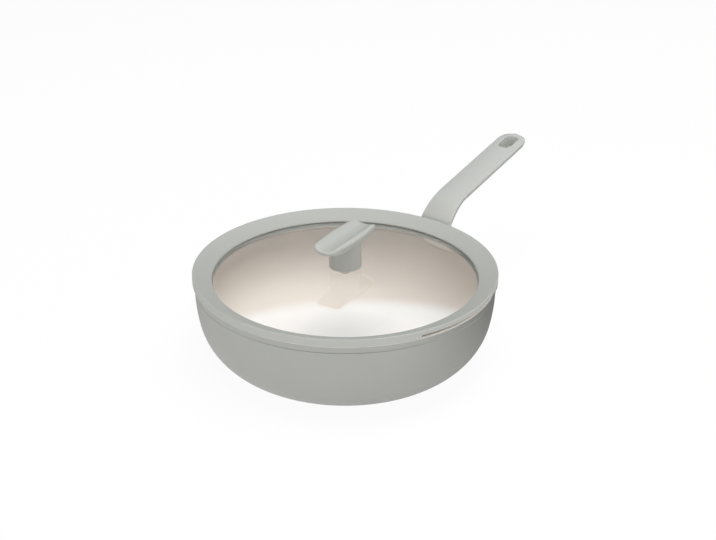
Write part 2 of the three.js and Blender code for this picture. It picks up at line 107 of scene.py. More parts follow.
def share(name, description, default):
    return FloatProperty(name=name, description=description, default=default, min=0.0)


def level(value):
    """Linear light for a colour value from 0 to 255."""
    part = value / 255
    return part / 12.92 if part <= 0.04045 else ((part + 0.055) / 1.055) ** 2.4


def colour(name, description, red, green, blue):
    return FloatVectorProperty(name=name, description=description, size=3, min=0.0, max=1.0, subtype="COLOR",
                               default=(level(red), level(green), level(blue)))


class PanSizes(PropertyGroup):
    rim_radius: length("Rim radius", "Outside of the rim band", PAN_HIGH.x)
    height: length("Height", "Top of the rim above the hob", PAN_HIGH.z)
    underside: length("Underside", "Height of the bowl's own underside", PAN_LOW.z)
    band_height: length("Band height", "Height of the band round the rim", 0.006)
    band_step: length("Band step", "How far the band stands out of the wall", 0.0005)
    rim_round: length("Rim round", "Rounding of the rim's edges", 0.002)
    step_round: length("Step round", "Rounding of the band's lower edge", 0.00015)
    groove_height: length("Groove height", "Height of the fine groove under the band", 0.0013)
    groove_depth: length("Groove depth", "Depth of that groove into the wall", 0.0005)
    wall: length("Wall", "Thickness of the wall", 0.004)
    floor: length("Floor", "Thickness of the floor", 0.005)
    base_inset: length("Base inset", "From the top of the wall in to the flat of the base", 0.062)
    side_curve: length("Side curve", "Radius of the turn from base to side", 0.060)
    side_sweep: turn("Side sweep", "Angle of that turn", 78)
    ring_pitch: length("Ring pitch", "Spacing of the turned rings in the steel plate", 0.008)
    ring_depth: length("Ring depth", "Depth of those rings", 0.0003)


class HandleSizes(PropertyGroup):
    root_drop: length("Root drop", "Top of the root below the rim band", 0.0003)
    neck_rise: turn("Neck rise", "Slope of the neck", 60)
    neck_length: length("Neck length", "Straight part of the neck", 0.0064)
    bend_radius: length("Bend radius", "Radius of the bend from neck to grip", 0.060)
    grip_rise: turn("Grip rise", "Slope of the grip", 13)
    reach: length("Reach", "End of the grip's top line from the pan's axis", 0.3075)
    neck_width: length("Neck width", "Width at the wall", 0.037)
    grip_width: length("Grip width", "Width of the grip", 0.032)
    root_depth: length("Root depth", "Depth at the wall", 0.028)
    neck_depth: length("Neck depth", "Depth of the neck", 0.019)
    grip_depth: length("Grip depth", "Depth of the grip", 0.013)
    root_blend: length("Root blend", "Length over which the root turns square to the neck", 0.014)
    crown: length("Crown", "Rise of the top's middle over its edges", 0.0012)
    edge_round: length("Edge round", "Rounding of the top's edges", 0.0012)
    neck_fullness: share("Neck fullness", "Fullness of the neck's underside", 1.5)
    grip_fullness: share("Grip fullness", "Fullness of the grip's underside", 2.0)
    end_round: length("End round", "Length of the rounded end", 0.016)
    end_fullness: share("End fullness", "Fullness of the rounded end", 2.4)
    end_thinning: share("End thinning", "Share of the depth lost at the end", 0.3)
    slot_length: length("Slot length", "Length of the hanging slot below its lip", 0.0236)
    slot_width: length("Slot width", "Width of the hanging slot below its lip", 0.0146)
    slot_corner: length("Slot corner", "Corner radius of the hanging slot below its lip", 0.0045)
    slot_draft: turn("Slot draft", "Lean of the slot's walls", 16)
    slot_inset: length("Slot inset", "Middle of the slot from the handle's end", 0.019)
    slot_lip: length("Slot lip", "Rounding of the slot's upper edge", 0.0011)
    lug_length: length("Lug length", "Tongue inside the root", 0.022)
    lug_width: length("Lug width", "Width of the tongue", 0.016)
    lug_thickness: length("Lug thickness", "Thickness of the tongue", 0.006)
    lug_cover: length("Lug cover", "Tongue below the neck's top line", 0.0045)
    screw_at: length("Screw place", "Screw's axis from the root", 0.012)
    screw_radius: length("Screw radius", "Radius of the handle screw", 0.0025)
    head_radius: length("Head radius", "Radius of the screw's head", 0.0044)
    head_height: length("Head height", "Height of the screw's head", 0.0026)
    screw_seat: length("Screw seat", "Handle between the tongue and the washer", 0.0022)
    washer_radius: length("Washer radius", "Radius of the spring washer", 0.0042)
    washer_thickness: length("Washer thickness", "Thickness of the spring washer", 0.001)


class LidSizes(PropertyGroup):
    radius: length("Radius", "Outside of the rim", RIM_HIGH.x)
    seat: length("Seat", "Height of the face on the pan's rim", PAN_HIGH.z + GAP)
    edge_height: length("Edge height", "Height of the rim's outer edge", RIM_HIGH.z)
    flange_width: length("Flange width", "Width of the sloping flange", 0.0185)
    flange_fall: length("Flange fall", "Fall of the flange from edge to glass", 0.00735)
    edge_round: length("Edge round", "Rounding of the outer top edge", 0.0013)
    lip_round: length("Lip round", "Rounding of the lip on the glass", 0.001)
    skirt_round: length("Skirt round", "Rounding of the skirt's lower edge", 0.0004)
    upper_lip: length("Upper lip", "Thickness of the lip on the glass", 0.0012)
    lip_gap: length("Lip gap", "Between that lip and the glass", 0.00008)
    lower_lip: length("Lower lip", "Thickness of the lip under the glass", 0.003)
    lower_reach: length("Lower reach", "How far that lip reaches in past the upper one", 0.0012)
    glass_grip: length("Glass grip", "How far the rim grips the glass", 0.0053)
    plug_clearance: length("Plug clearance", "Plug inside the mouth of the pan", 0.0008)
    slot_roof: length("Slot roof", "Flange left over a pour slot", 0.002)
    slot_span: turn("Slot span", "Angle that a pour slot takes up", 49.4)
    slot_inside: length("Slot inside", "Pour slot's depth into the plug", 0.0035)
    glass: length("Glass", "Thickness of the glass", 0.004)
    dome_rise: length("Dome rise", "Rise of the glass over its visible edge", 0.0095)
    glass_hole: length("Glass hole", "Radius of the hole in the glass", 0.0042)
    glass_round: length("Glass round", "Rounding of the glass's edges", 0.0008)


class KnobSizes(PropertyGroup):
    top: length("Top", "Height of the knob's top", KNOB_HIGH.z)
    foot: length("Foot", "Height of the stem's foot", KNOB_LOW.z)
    lid_turn: turn("Turn", "Turn of the knob on the lid", 7)
    plate_length: length("Length", "Length of the rest", 0.079)
    plate_width: length("Width", "Width of the rest at its middle", 0.031)
    end_width: length("End width", "Width of the rest near its ends", 0.0275)
    end_round: length("End round", "Length of the rounded ends", 0.010)
    end_fullness: share("End fullness", "Fullness of the rounded ends", 2.4)
    tip_drop: length("Tip drop", "Fall of the lips at the ends", 0.0015)
    edge: length("Edge", "Upright edge at the middle", 0.007)
    end_edge: length("End edge", "Upright edge at the ends", 0.005)
    thickness: length("Thickness", "Thickness at the middle", 0.011)
    end_thickness: length("End thickness", "Thickness at the ends", 0.0075)
    trough_depth: length("Trough depth", "Depth of the trough", 0.004)
    trough_fullness: share("Trough fullness", "Fullness of the trough's section", 2.7)
    trough_lip: length("Trough lip", "Lip beside the trough at the middle", 0.0045)
    trough_end_lip: length("Trough end lip", "Lip beside the trough at the ends", 0.003)
    edge_round: length("Edge round", "Rounding of the top's outer edge", 0.003)
    stem_radius: length("Stem radius", "Radius of the stem", 0.0152)
    stem_ease: length("Stem ease", "Rounding of the stem's foot", 0.0005)
    thread_radius: length("Thread radius", "Radius of the screw's thread", 0.002)
    head_height: length("Head height", "Height of the screw's head", 0.0028)


class Finishes(PropertyGroup):
    pan_outside: colour("Pan outside", "Grey coating outside the bowl", 164, 165, 160)
    pan_inside: colour("Pan inside", "Cream coating inside the bowl", 242, 233, 224)
    moulding: colour("Moulding", "Handle and knob", 175, 176, 171)
    soft_rim: colour("Soft rim", "Silicone rim of the lid", 169, 170, 165)
    silicone: colour("Silicone", "Clear washers under the knob", 222, 222, 216)
    glass: colour("Glass", "Tint of the glass", 254, 255, 254)
    steel: colour("Steel", "Plate, screws and washers", 200, 200, 202)
    brass: colour("Brass", "Insert in the knob", 205, 170, 105)
    aluminium: colour("Aluminium", "Bare tongue in the handle's root", 205, 206, 208)


class StageSizes(PropertyGroup):
    look_height: length("Look height", "Height of the point that the camera looks at", 0.0951)
    azimuth: turn("Azimuth", "Where the camera stands, about Z", -52)
    elevation: turn("Elevation", "Camera above the horizon", 25.42)
    distance: length("Distance", "Camera from that point", 1.279)
    focal_pixels: share("Focal length", "Focal length in pixels of the photograph", 1340.3)
    shift_right: share("Shift right", "Sideways shift, in widths of the photograph", 0.01788)
    shift_down: share("Shift down", "Downward shift, in widths of the photograph", 0.00448)
    floor_size: length("Floor", "Side of the floor", 12.0)
    floor_white: share("Floor white", "How far white hides the floor's own shades from the camera", 0.94)
    # The floor's shade in reflections is painted into its glow, not cast by the lamps
    floor_shade: share("Floor shade", "Light that reflections show of the floor at the back right", 0.0)
    floor_fade: length("Floor fade", "Half the width over which that shade fades", 0.2)
    sky_bright: share("Bright sky", "Light of the studio's front", 2.1)
    sky_dark: share("Dark sky", "Light of the studio's back", 0.05)
    sky_top: share("Top of the sky", "Share of that light that comes from overhead", 0.1)
    panel: share("Panel", "Further light from the bright panel at the back", 2.5)
    panel_edge: turn("Panel edge", "Height of that panel's lower edge", 36.2)
    panel_tilt: share("Panel tilt", "Fall of that edge to the camera's right", 0.08)
    panel_blur: share("Panel blur", "Softness of that edge", 0.03)
    key_forward: length("Key forward", "Lamp from the pan's axis towards the camera", 0.15)
    key_right: length("Key right", "Lamp from the pan's axis to the camera's right", 0.2)
    key_rise: length("Key rise", "Lamp above the point that the camera looks at", 1.7)
    key_width: length("Key width", "Width of the lamp", 1.9)
    key_depth: length("Key depth", "Depth of the lamp", 1.0)
    key_radiance: share("Key light", "Radiance of the lamp", 5.0)


# Drawing and turning outlines


class Pen:
    """Draws an outline of (radius, height) points as a chain of edges."""

    def __init__(self, bm, radius, height):
        self.bm = bm
        self.at = bm.verts.new((radius, 0, height))

    def line(self, radius, height):
        self.at = bmesh.ops.extrude_vert_indiv(self.bm, verts=[self.at])["verts"][0]
        self.at.co = (radius, 0, height)
        return self.at

    def arc(self, centre, angle, steps):
        spun = bmesh.ops.spin(self.bm, geom=[self.at], cent=(centre.x, 0, centre.y), axis=(0, -1, 0),
                              angle=angle, steps=steps)
        self.at = [part for part in spun["geom_last"] if isinstance(part, bmesh.types.BMVert)][0]
        return self.at

    def close(self, first):
        self.bm.edges.new((self.at, first))


def round_corners(bm, corners, reach, steps=CORNER_STEPS):
    bmesh.ops.bevel(bm, geom=corners, offset=reach, offset_type="OFFSET", segments=steps, profile=0.5,
                    affect="VERTICES", material=-1, clamp_overlap=True)


def tidy(bm):
    """Closes seams and poles and turns the faces outwards."""
    bmesh.ops.remove_doubles(bm, verts=bm.verts[:], dist=WELD)
    bmesh.ops.dissolve_degenerate(bm, edges=bm.edges[:], dist=WELD)
    bmesh.ops.recalc_face_normals(bm, faces=bm.faces[:])


def close_ends(bm):
    """Fills the open ends of a skin, then closes its seams and turns its faces outwards."""
    bmesh.ops.remove_doubles(bm, verts=bm.verts[:], dist=WELD)
    bmesh.ops.holes_fill(bm, edges=[edge for edge in bm.edges if edge.is_boundary], sides=0)
    tidy(bm)


def revolve(bm, steps=ROUND):
    bmesh.ops.spin(bm, geom=bm.verts[:] + bm.edges[:], cent=(0, 0, 0), axis=(0, 0, 1), angle=math.tau,
                   steps=steps, use_merge=True)
    tidy(bm)


def wrap(stations, around, place):
    """A closed skin: a grid whose columns are stations along a piece and whose rows go round it."""
    bm = bmesh.new()
    columns = len(stations) - 1
    rows = len(around)
    bmesh.ops.create_grid(bm, x_segments=columns, y_segments=rows, size=1)
    for vertex in bm.verts:
        column = round((vertex.co.x + 1) / 2 * columns)
        row = round((vertex.co.y + 1) / 2 * rows) % rows
        vertex.co = place(stations[column], around[row])
    close_ends(bm)
    return bm


def spread(first, last, steps):
    return [first + (last - first) * i / steps for i in range(steps + 1)]


def mix(a, b, part):
    return a + (b - a) * part


def ease(value, low, high):
    part = min(1, max(0, (value - low) / (high - low)))
    return part * part * (3 - 2 * part)


def rounded_end(start, reach, steps):
    """Stations along a rounded end, closer together towards its tip."""
    return [start + reach * math.sin(angle) for angle in spread(0, math.pi / 2, steps)]


def width_left(past, reach, fullness):
    """Share of its full width that a rounded end has at a length past its start."""
    run = min(1, max(0, past / reach))
    return (1 - run ** fullness) ** (1 / fullness)


# Making objects


def solid(name, bm, matrix=None):
    """An object with the mesh that was drawn, with its place in the mesh."""
    if matrix is not None:
        bmesh.ops.transform(bm, matrix=matrix, verts=bm.verts[:])
    for face in bm.faces:
        face.smooth = True
    mesh = bpy.data.meshes.new(name)
    bm.to_mesh(mesh)
    bm.free()
    thing = bpy.data.objects.new(name, mesh)
    bpy.context.scene.collection.objects.link(thing)
    return thing


def carve(thing, tools, operation="DIFFERENCE"):
    """Cuts the tools out of a piece, or joins them to it, and throws them away."""
    for tool in tools:
        change = thing.modifiers.new("Carve", "BOOLEAN")
        change.operation = operation
        change.solver = "EXACT"
        change.object = tool
    bpy.context.view_layer.update()
    shaped = thing.evaluated_get(bpy.context.evaluated_depsgraph_get())
    rough = thing.data
    thing.data = bpy.data.meshes.new_from_object(shaped)
    thing.modifiers.clear()
    bpy.data.meshes.remove(rough)
    for tool in tools:
        mesh = tool.data
        bpy.data.objects.remove(tool)
        bpy.data.meshes.remove(mesh)


def dress(thing, body, slot, nodes, finishes, weighted=False):
    """Gives a piece its finishes and its body, and hides the nodes that it stands for."""
    for finish in finishes:
        thing.data.materials.append(finish)
    thing.data.set_sharp_from_angle(angle=SHARP_ANGLE)
    if weighted:
        thing.modifiers.new("Even shading", "WEIGHTED_NORMAL").keep_sharp = True
    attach(thing, body)
    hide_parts(*nodes)


# Finishes


def set_inputs(node, inputs):
    """Sets a node's sockets by their names, with _ for a space."""
    for name, value in inputs.items():
        node.inputs[name.replace("_", " ")].default_value = value
    return node


def add(tree, kind, **inputs):
    return set_inputs(tree.nodes.new(kind), inputs)


def link(tree, source, target):
    tree.links.new(source, target)


def combine(tree, operation, first, second):
    """One value made of two, the second of which may be a plain number."""
    node = tree.nodes.new("ShaderNodeMath")
    node.operation = operation
    link(tree, first, node.inputs[0])
    if isinstance(second, float):
        node.inputs[1].default_value = second
    else:
        link(tree, second, node.inputs[1])
    return node.outputs["Value"]


def combine_vector(tree, operation, vector, constant=(0, 0, 0)):
    """The sockets that a vector and a constant vector give."""
    node = tree.nodes.new("ShaderNodeVectorMath")
    node.operation = operation
    node.inputs[1].default_value = constant
    link(tree, vector, node.inputs[0])
    return node.outputs


def distance_along(tree, vector, axis):
    return combine_vector(tree, "DOT_PRODUCT", vector, axis)["Value"]


def ramp(tree, value, low, high, start=0.0, end=1.0):
    """A smooth step from one value to another."""
    band = add(tree, "ShaderNodeMapRange", From_Min=low, From_Max=high, To_Min=start, To_Max=end)
    band.interpolation_type = "SMOOTHSTEP"
    link(tree, value, band.inputs["Value"])
    return band.outputs["Result"]


def blend_colours(tree, part, first, second):
    node = tree.nodes.new("ShaderNodeMix")
    node.data_type = "RGBA"
    node.inputs["A"].default_value = (*first, 1)
    node.inputs["B"].default_value = (*second, 1)
    link(tree, part, node.inputs["Factor"])
    return node.outputs["Result"]


def blend_shaders(tree, part, first, second):
    node = tree.nodes.new("ShaderNodeMixShader")
    link(tree, part, node.inputs["Fac"])
    link(tree, first, node.inputs[1])
    link(tree, second, node.inputs[2])
    return node.outputs["Shader"]


def show_surface(tree, surface):
    link(tree, surface, tree.nodes["Material Output"].inputs["Surface"])


def shader_group(name, inputs, outputs):
    tree = bpy.data.node_groups.new(name, "ShaderNodeTree")
    for title, default in inputs:
        socket = tree.interface.new_socket(title, in_out="INPUT", socket_type="NodeSocketFloat")
        socket.default_value = default
    for title in outputs:
        tree.interface.new_socket(title, in_out="OUTPUT", socket_type="NodeSocketFloat")
    return tree, tree.nodes.new("NodeGroupInput"), tree.nodes.new("NodeGroupOutput")


def surface_grain():
    """Fine grain and a broad, faint unevenness, as moulding, coating and silicone have."""
    tree = bpy.data.node_groups.get("Surface grain")
    if tree:
        return tree
    tree, ins, outs = shader_group("Surface grain", [("Grains per metre", 2000.0)], ["Grain", "Unevenness"])
    place = tree.nodes.new("ShaderNodeTexCoord")
    grain = add(tree, "ShaderNodeTexNoise", Detail=3.0, Roughness=0.6)
    link(tree, place.outputs["Object"], grain.inputs["Vector"])
    link(tree, ins.outputs["Grains per metre"], grain.inputs["Scale"])
    link(tree, grain.outputs["Fac"], outs.inputs["Grain"])
    broad = add(tree, "ShaderNodeTexNoise", Scale=28.0, Detail=4.0, Roughness=0.55)
    link(tree, place.outputs["Object"], broad.inputs["Vector"])
    link(tree, broad.outputs["Fac"], outs.inputs["Unevenness"])
    return tree


def turned_rings():
    """Fine rings about Z, as a turned or brushed metal face has."""
    tree = bpy.data.node_groups.get("Turned rings")
    if tree:
        return tree
    tree, ins, outs = shader_group("Turned rings", [("Rings per metre", 900.0)], ["Rings"])
    place = tree.nodes.new("ShaderNodeTexCoord")
    flat = combine_vector(tree, "MULTIPLY", place.outputs["Object"], (1, 1, 0))["Vector"]
    radius = combine_vector(tree, "LENGTH", flat)["Value"]
    rings = add(tree, "ShaderNodeTexNoise", Detail=2.0)
    rings.noise_dimensions = "1D"
    link(tree, radius, rings.inputs["W"])
    link(tree, ins.outputs["Rings per metre"], rings.inputs["Scale"])
    link(tree, rings.outputs["Fac"], outs.inputs["Rings"])
    return tree


def new_finish(name):
    finish = bpy.data.materials.new(name)
    finish.use_nodes = True
    return finish, finish.node_tree, finish.node_tree.nodes["Principled BSDF"]


def place_group(tree, group, **inputs):
    node = tree.nodes.new("ShaderNodeGroup")
    node.node_tree = group
    return set_inputs(node, inputs)


def vary_colour(tree, shader, mask, base, stray):
    """Colour that strays a little from its base, darker to lighter over the mask."""
    darker = [part * (1 - stray) for part in base]
    lighter = [min(1, part * (1 + stray)) for part in base]
    link(tree, blend_colours(tree, mask, darker, lighter), shader.inputs["Base Color"])


def vary_roughness(tree, shader, mask, low, high):
    band = add(tree, "ShaderNodeMapRange", To_Min=low, To_Max=high)
    link(tree, mask, band.inputs["Value"])
    link(tree, band.outputs["Result"], shader.inputs["Roughness"])


def raise_grain(tree, shader, height, distance, strength):
    bump = add(tree, "ShaderNodeBump", Distance=distance, Strength=strength)
    link(tree, height, bump.inputs["Height"])
    link(tree, bump.outputs["Normal"], shader.inputs["Normal"])


# How far colour and roughness stray on grained finishes and on turned metal, and how its rings stand out
COLOUR_STRAY = 0.02
ROUGHNESS_STRAY = 0.04
METAL_STRAY = 0.06
METAL_SMOOTHER = 0.08
METAL_ROUGHER = 0.1
RING_HEIGHT = 0.00005
RING_STRENGTH = 0.25

# Glass: its smears, what it lets through head on, and how fast a slant takes that away
GLASS_SMEARS = 0.03
GLASS_CLEARNESS = 0.98
GLASS_SLANT = 2.0


def grained_finish(name, base, grains, height, strength, roughness, metallic=0.0):
    """A matt finish with a fine grain: coating, moulded plastic, silicone or rough metal."""
    if name in bpy.data.materials:
        return bpy.data.materials[name]
    finish, tree, shader = new_finish(name)
    shader.inputs["Metallic"].default_value = metallic
    grain = place_group(tree, surface_grain(), Grains_per_metre=grains)
    uneven = grain.outputs["Unevenness"]
    vary_colour(tree, shader, uneven, base, COLOUR_STRAY)
    vary_roughness(tree, shader, uneven, roughness - ROUGHNESS_STRAY, roughness + ROUGHNESS_STRAY)
    raise_grain(tree, shader, grain.outputs["Grain"], height, strength)
    return finish


def grey_coating():
    base = bpy.context.scene.wok_finish.pan_outside
    return grained_finish("grey_coating", base, grains=2600, height=0.00004, strength=0.3, roughness=0.4,
                          metallic=0.5)


def cream_coating():
    base = bpy.context.scene.wok_finish.pan_inside
    return grained_finish("cream_coating", base, grains=900, height=0.00005, strength=0.2, roughness=0.6)


def grey_moulding():
    base = bpy.context.scene.wok_finish.moulding
    return grained_finish("grey_moulding", base, grains=3200, height=0.00005, strength=0.4, roughness=0.5)


def grey_silicone():
    base = bpy.context.scene.wok_finish.soft_rim
    finish = grained_finish("grey_silicone", base, grains=1800, height=0.00004, strength=0.25, roughness=0.58)
    shader = finish.node_tree.nodes["Principled BSDF"]
    shader.inputs["Sheen Weight"].default_value = 0.12
    shader.inputs["Sheen Roughness"].default_value = 0.4
    return finish


def clear_silicone():
    base = bpy.context.scene.wok_finish.silicone
    finish = grained_finish("clear_silicone", base, grains=1500, height=0.00003, strength=0.2, roughness=0.4)
    shader = finish.node_tree.nodes["Principled BSDF"]
    shader.inputs["Transmission Weight"].default_value = 0.2
    shader.inputs["IOR"].default_value = 1.41
    return finish


def clear_glass():
    """Clear glass with faint smears, which lamps and bounced light pass, less of it at a slant."""
    if "clear_glass" in bpy.data.materials:
        return bpy.data.materials["clear_glass"]
    finish, tree, shader = new_finish("clear_glass")
    shader.inputs["Base Color"].default_value = (*bpy.context.scene.wok_finish.glass, 1)
    shader.inputs["Transmission Weight"].default_value = 1.0
    shader.inputs["IOR"].default_value = 1.5
    smears = place_group(tree, surface_grain())
    vary_roughness(tree, shader, smears.outputs["Unevenness"], 0.0, GLASS_SMEARS)
    facing = add(tree, "ShaderNodeLayerWeight", Blend=0.5).outputs["Facing"]
    slant = combine(tree, "POWER", facing, GLASS_SLANT)
    through = tree.nodes.new("ShaderNodeBsdfTransparent")
    head_on = [GLASS_CLEARNESS] * 3
    link(tree, blend_colours(tree, slant, head_on, (0, 0, 0)), through.inputs["Color"])
    path = tree.nodes.new("ShaderNodeLightPath")
    surface = shader.outputs["BSDF"]
    for ray in ("Is Shadow Ray", "Is Diffuse Ray"):
        surface = blend_shaders(tree, path.outputs[ray], surface, through.outputs["BSDF"])
    show_surface(tree, surface)
    return finish


def turned_metal(name, base, rings, roughness):
    """Metal with fine rings from turning or brushing."""
    if name in bpy.data.materials:
        return bpy.data.materials[name]
    finish, tree, shader = new_finish(name)
    shader.inputs["Metallic"].default_value = 1.0
    turned = place_group(tree, turned_rings(), Rings_per_metre=rings).outputs["Rings"]
    vary_colour(tree, shader, turned, base, METAL_STRAY)
    vary_roughness(tree, shader, turned, roughness - METAL_SMOOTHER, roughness + METAL_ROUGHER)
    raise_grain(tree, shader, turned, RING_HEIGHT, RING_STRENGTH)
    return finish


def steel():
    return turned_metal("brushed_steel", bpy.context.scene.wok_finish.steel, rings=1400, roughness=0.32)


def brass():
    return turned_metal("turned_brass", bpy.context.scene.wok_finish.brass, rings=2200, roughness=0.3)


def bare_aluminium():
    base = bpy.context.scene.wok_finish.aluminium
    return grained_finish("bare_aluminium", base, grains=1500, height=0.00008, strength=0.5, roughness=0.42,
                          metallic=1.0)


# Pan

# How steeply cream faces look up at least, on the rim and on the floor
RIM_TILT = math.radians(35)
FLOOR_TILT = math.radians(80)

# Height of the mouth's upright wall, in roundings of the rim
MOUTH_UPRIGHT = 1.5


class Side:
    """A side that leaves a flat, turns up on one arc and runs to its end on a second, tangent arc."""

    LOWER_STEPS = 30
    UPPER_STEPS = 14

    def __init__(self, start, radius, sweep, end):
        self.lower = start + Vector((0, radius))
        self.sweep = sweep
        joint = self.lower + radius * Vector((math.sin(sweep), -math.cos(sweep)))
        along = Vector((math.cos(sweep), math.sin(sweep)))
        across = Vector((-along.y, along.x))
        chord = end - joint
        self.turn = 2 * math.atan2(chord.dot(across), chord.dot(along))
        self.upper = joint + across * chord.length / (2 * math.sin(self.turn / 2))

    def climb(self, pen):
        pen.arc(self.lower, self.sweep, self.LOWER_STEPS)
        return pen.arc(self.upper, self.turn, self.UPPER_STEPS)

    def descend(self, pen):
        pen.arc(self.upper, -self.turn, self.UPPER_STEPS)
        return pen.arc(self.lower, -self.sweep, self.LOWER_STEPS)


class PanShape:
    """Places on the bowl that other pieces need too."""

    def __init__(self):
        pan = bpy.context.scene.wok_pan
        self.wall_top = pan.rim_radius - pan.band_step
        self.mouth = self.wall_top - pan.wall
        self.base = self.wall_top - pan.base_inset
        self.band_bottom = pan.height - pan.band_height
        self.floor = pan.underside + pan.floor
        outer_start = Vector((self.base, pan.underside))
        outer_end = Vector((self.wall_top, self.band_bottom - pan.groove_height))
        self.outer = Side(outer_start, pan.side_curve, pan.side_sweep, outer_end)
        inner_start = Vector((self.base, self.floor))
        inner_end = Vector((self.mouth, pan.height - pan.rim_round))
        self.inner = Side(inner_start, pan.side_curve - pan.wall, pan.side_sweep, inner_end)


def coat_inside(bm, shape):
    """Gives the faces above the floor that look in or up the second finish."""
    for face in bm.faces:
        middle = face.calc_center_median()
        inward = middle.x * face.normal.x + middle.y * face.normal.y < 0
        upward = face.normal.z > math.sin(RIM_TILT) and middle.z > shape.band_bottom
        flat = face.normal.z > math.sin(FLOOR_TILT)
        face.material_index = int(middle.z > shape.floor - WELD and (inward or upward or flat))


class WOK_OT_pan_bowl(Operator):
    """Turns the bowl, grey outside and cream inside"""

    bl_idname = "wok.pan_bowl"
    bl_label = "Pan bowl"

    def execute(self, context):
        pan = context.scene.wok_pan
        shape = PanShape()
        recess = Vector((PLATE_HIGH.x + GAP, PLATE_HIGH.z + GAP))
        bm = bmesh.new()
        pen = Pen(bm, 0, recess.y)
        pen.line(recess.x, recess.y)
        recess_edge = pen.line(recess.x, pan.underside)
        pen.line(shape.base, pan.underside)
        step_inside = shape.outer.climb(pen)
        pen.line(shape.wall_top - pan.groove_depth, shape.band_bottom - pan.groove_height / 2)
        step_outside = pen.line(pan.rim_radius, shape.band_bottom)
        rim_outside = pen.line(pan.rim_radius, pan.height)
        rim_inside = pen.line(shape.mouth, pan.height)
        pen.line(shape.mouth, pan.height - MOUTH_UPRIGHT * pan.rim_round)
        shape.inner.descend(pen)
        pen.line(0, shape.floor)
        round_corners(bm, [step_inside, step_outside, recess_edge], pan.step_round)
        round_corners(bm, [rim_outside, rim_inside], pan.rim_round, FINE_CORNER_STEPS)
        revolve(bm)
        coat_inside(bm, shape)
        bowl = solid("pan_bowl", bm)
        dress(bowl, "pan", "coated_grey", ["pan_body"], [grey_coating(), cream_coating()])
        return {"FINISHED"}


class WOK_OT_base_plate(Operator):
    """Turns the steel plate in the base, with its rings"""

    bl_idname = "wok.base_plate"
    bl_label = "Base plate"

    def execute(self, context):
        pan = context.scene.wok_pan
        radius = PLATE_HIGH.x
        bm = bmesh.new()
        pen = Pen(bm, 0, 0)
        rings = int(radius / pan.ring_pitch)
        for i in range(1, rings):
            at = i * pan.ring_pitch
            pen.line(at - pan.ring_depth, 0)
            pen.line(at, pan.ring_depth)
            pen.line(at + pan.ring_depth, 0)
        lower_edge = pen.line(radius, 0)
        upper_edge = pen.line(radius, PLATE_HIGH.z)
        pen.line(0, PLATE_HIGH.z)
        round_corners(bm, [lower_edge, upper_edge], pan.ring_depth)
        revolve(bm)
        plate = solid("base_plate", bm)
        dress(plate, "pan", "steel", ["induction_plate"], [steel()])
        return {"FINISHED"}


# Handle


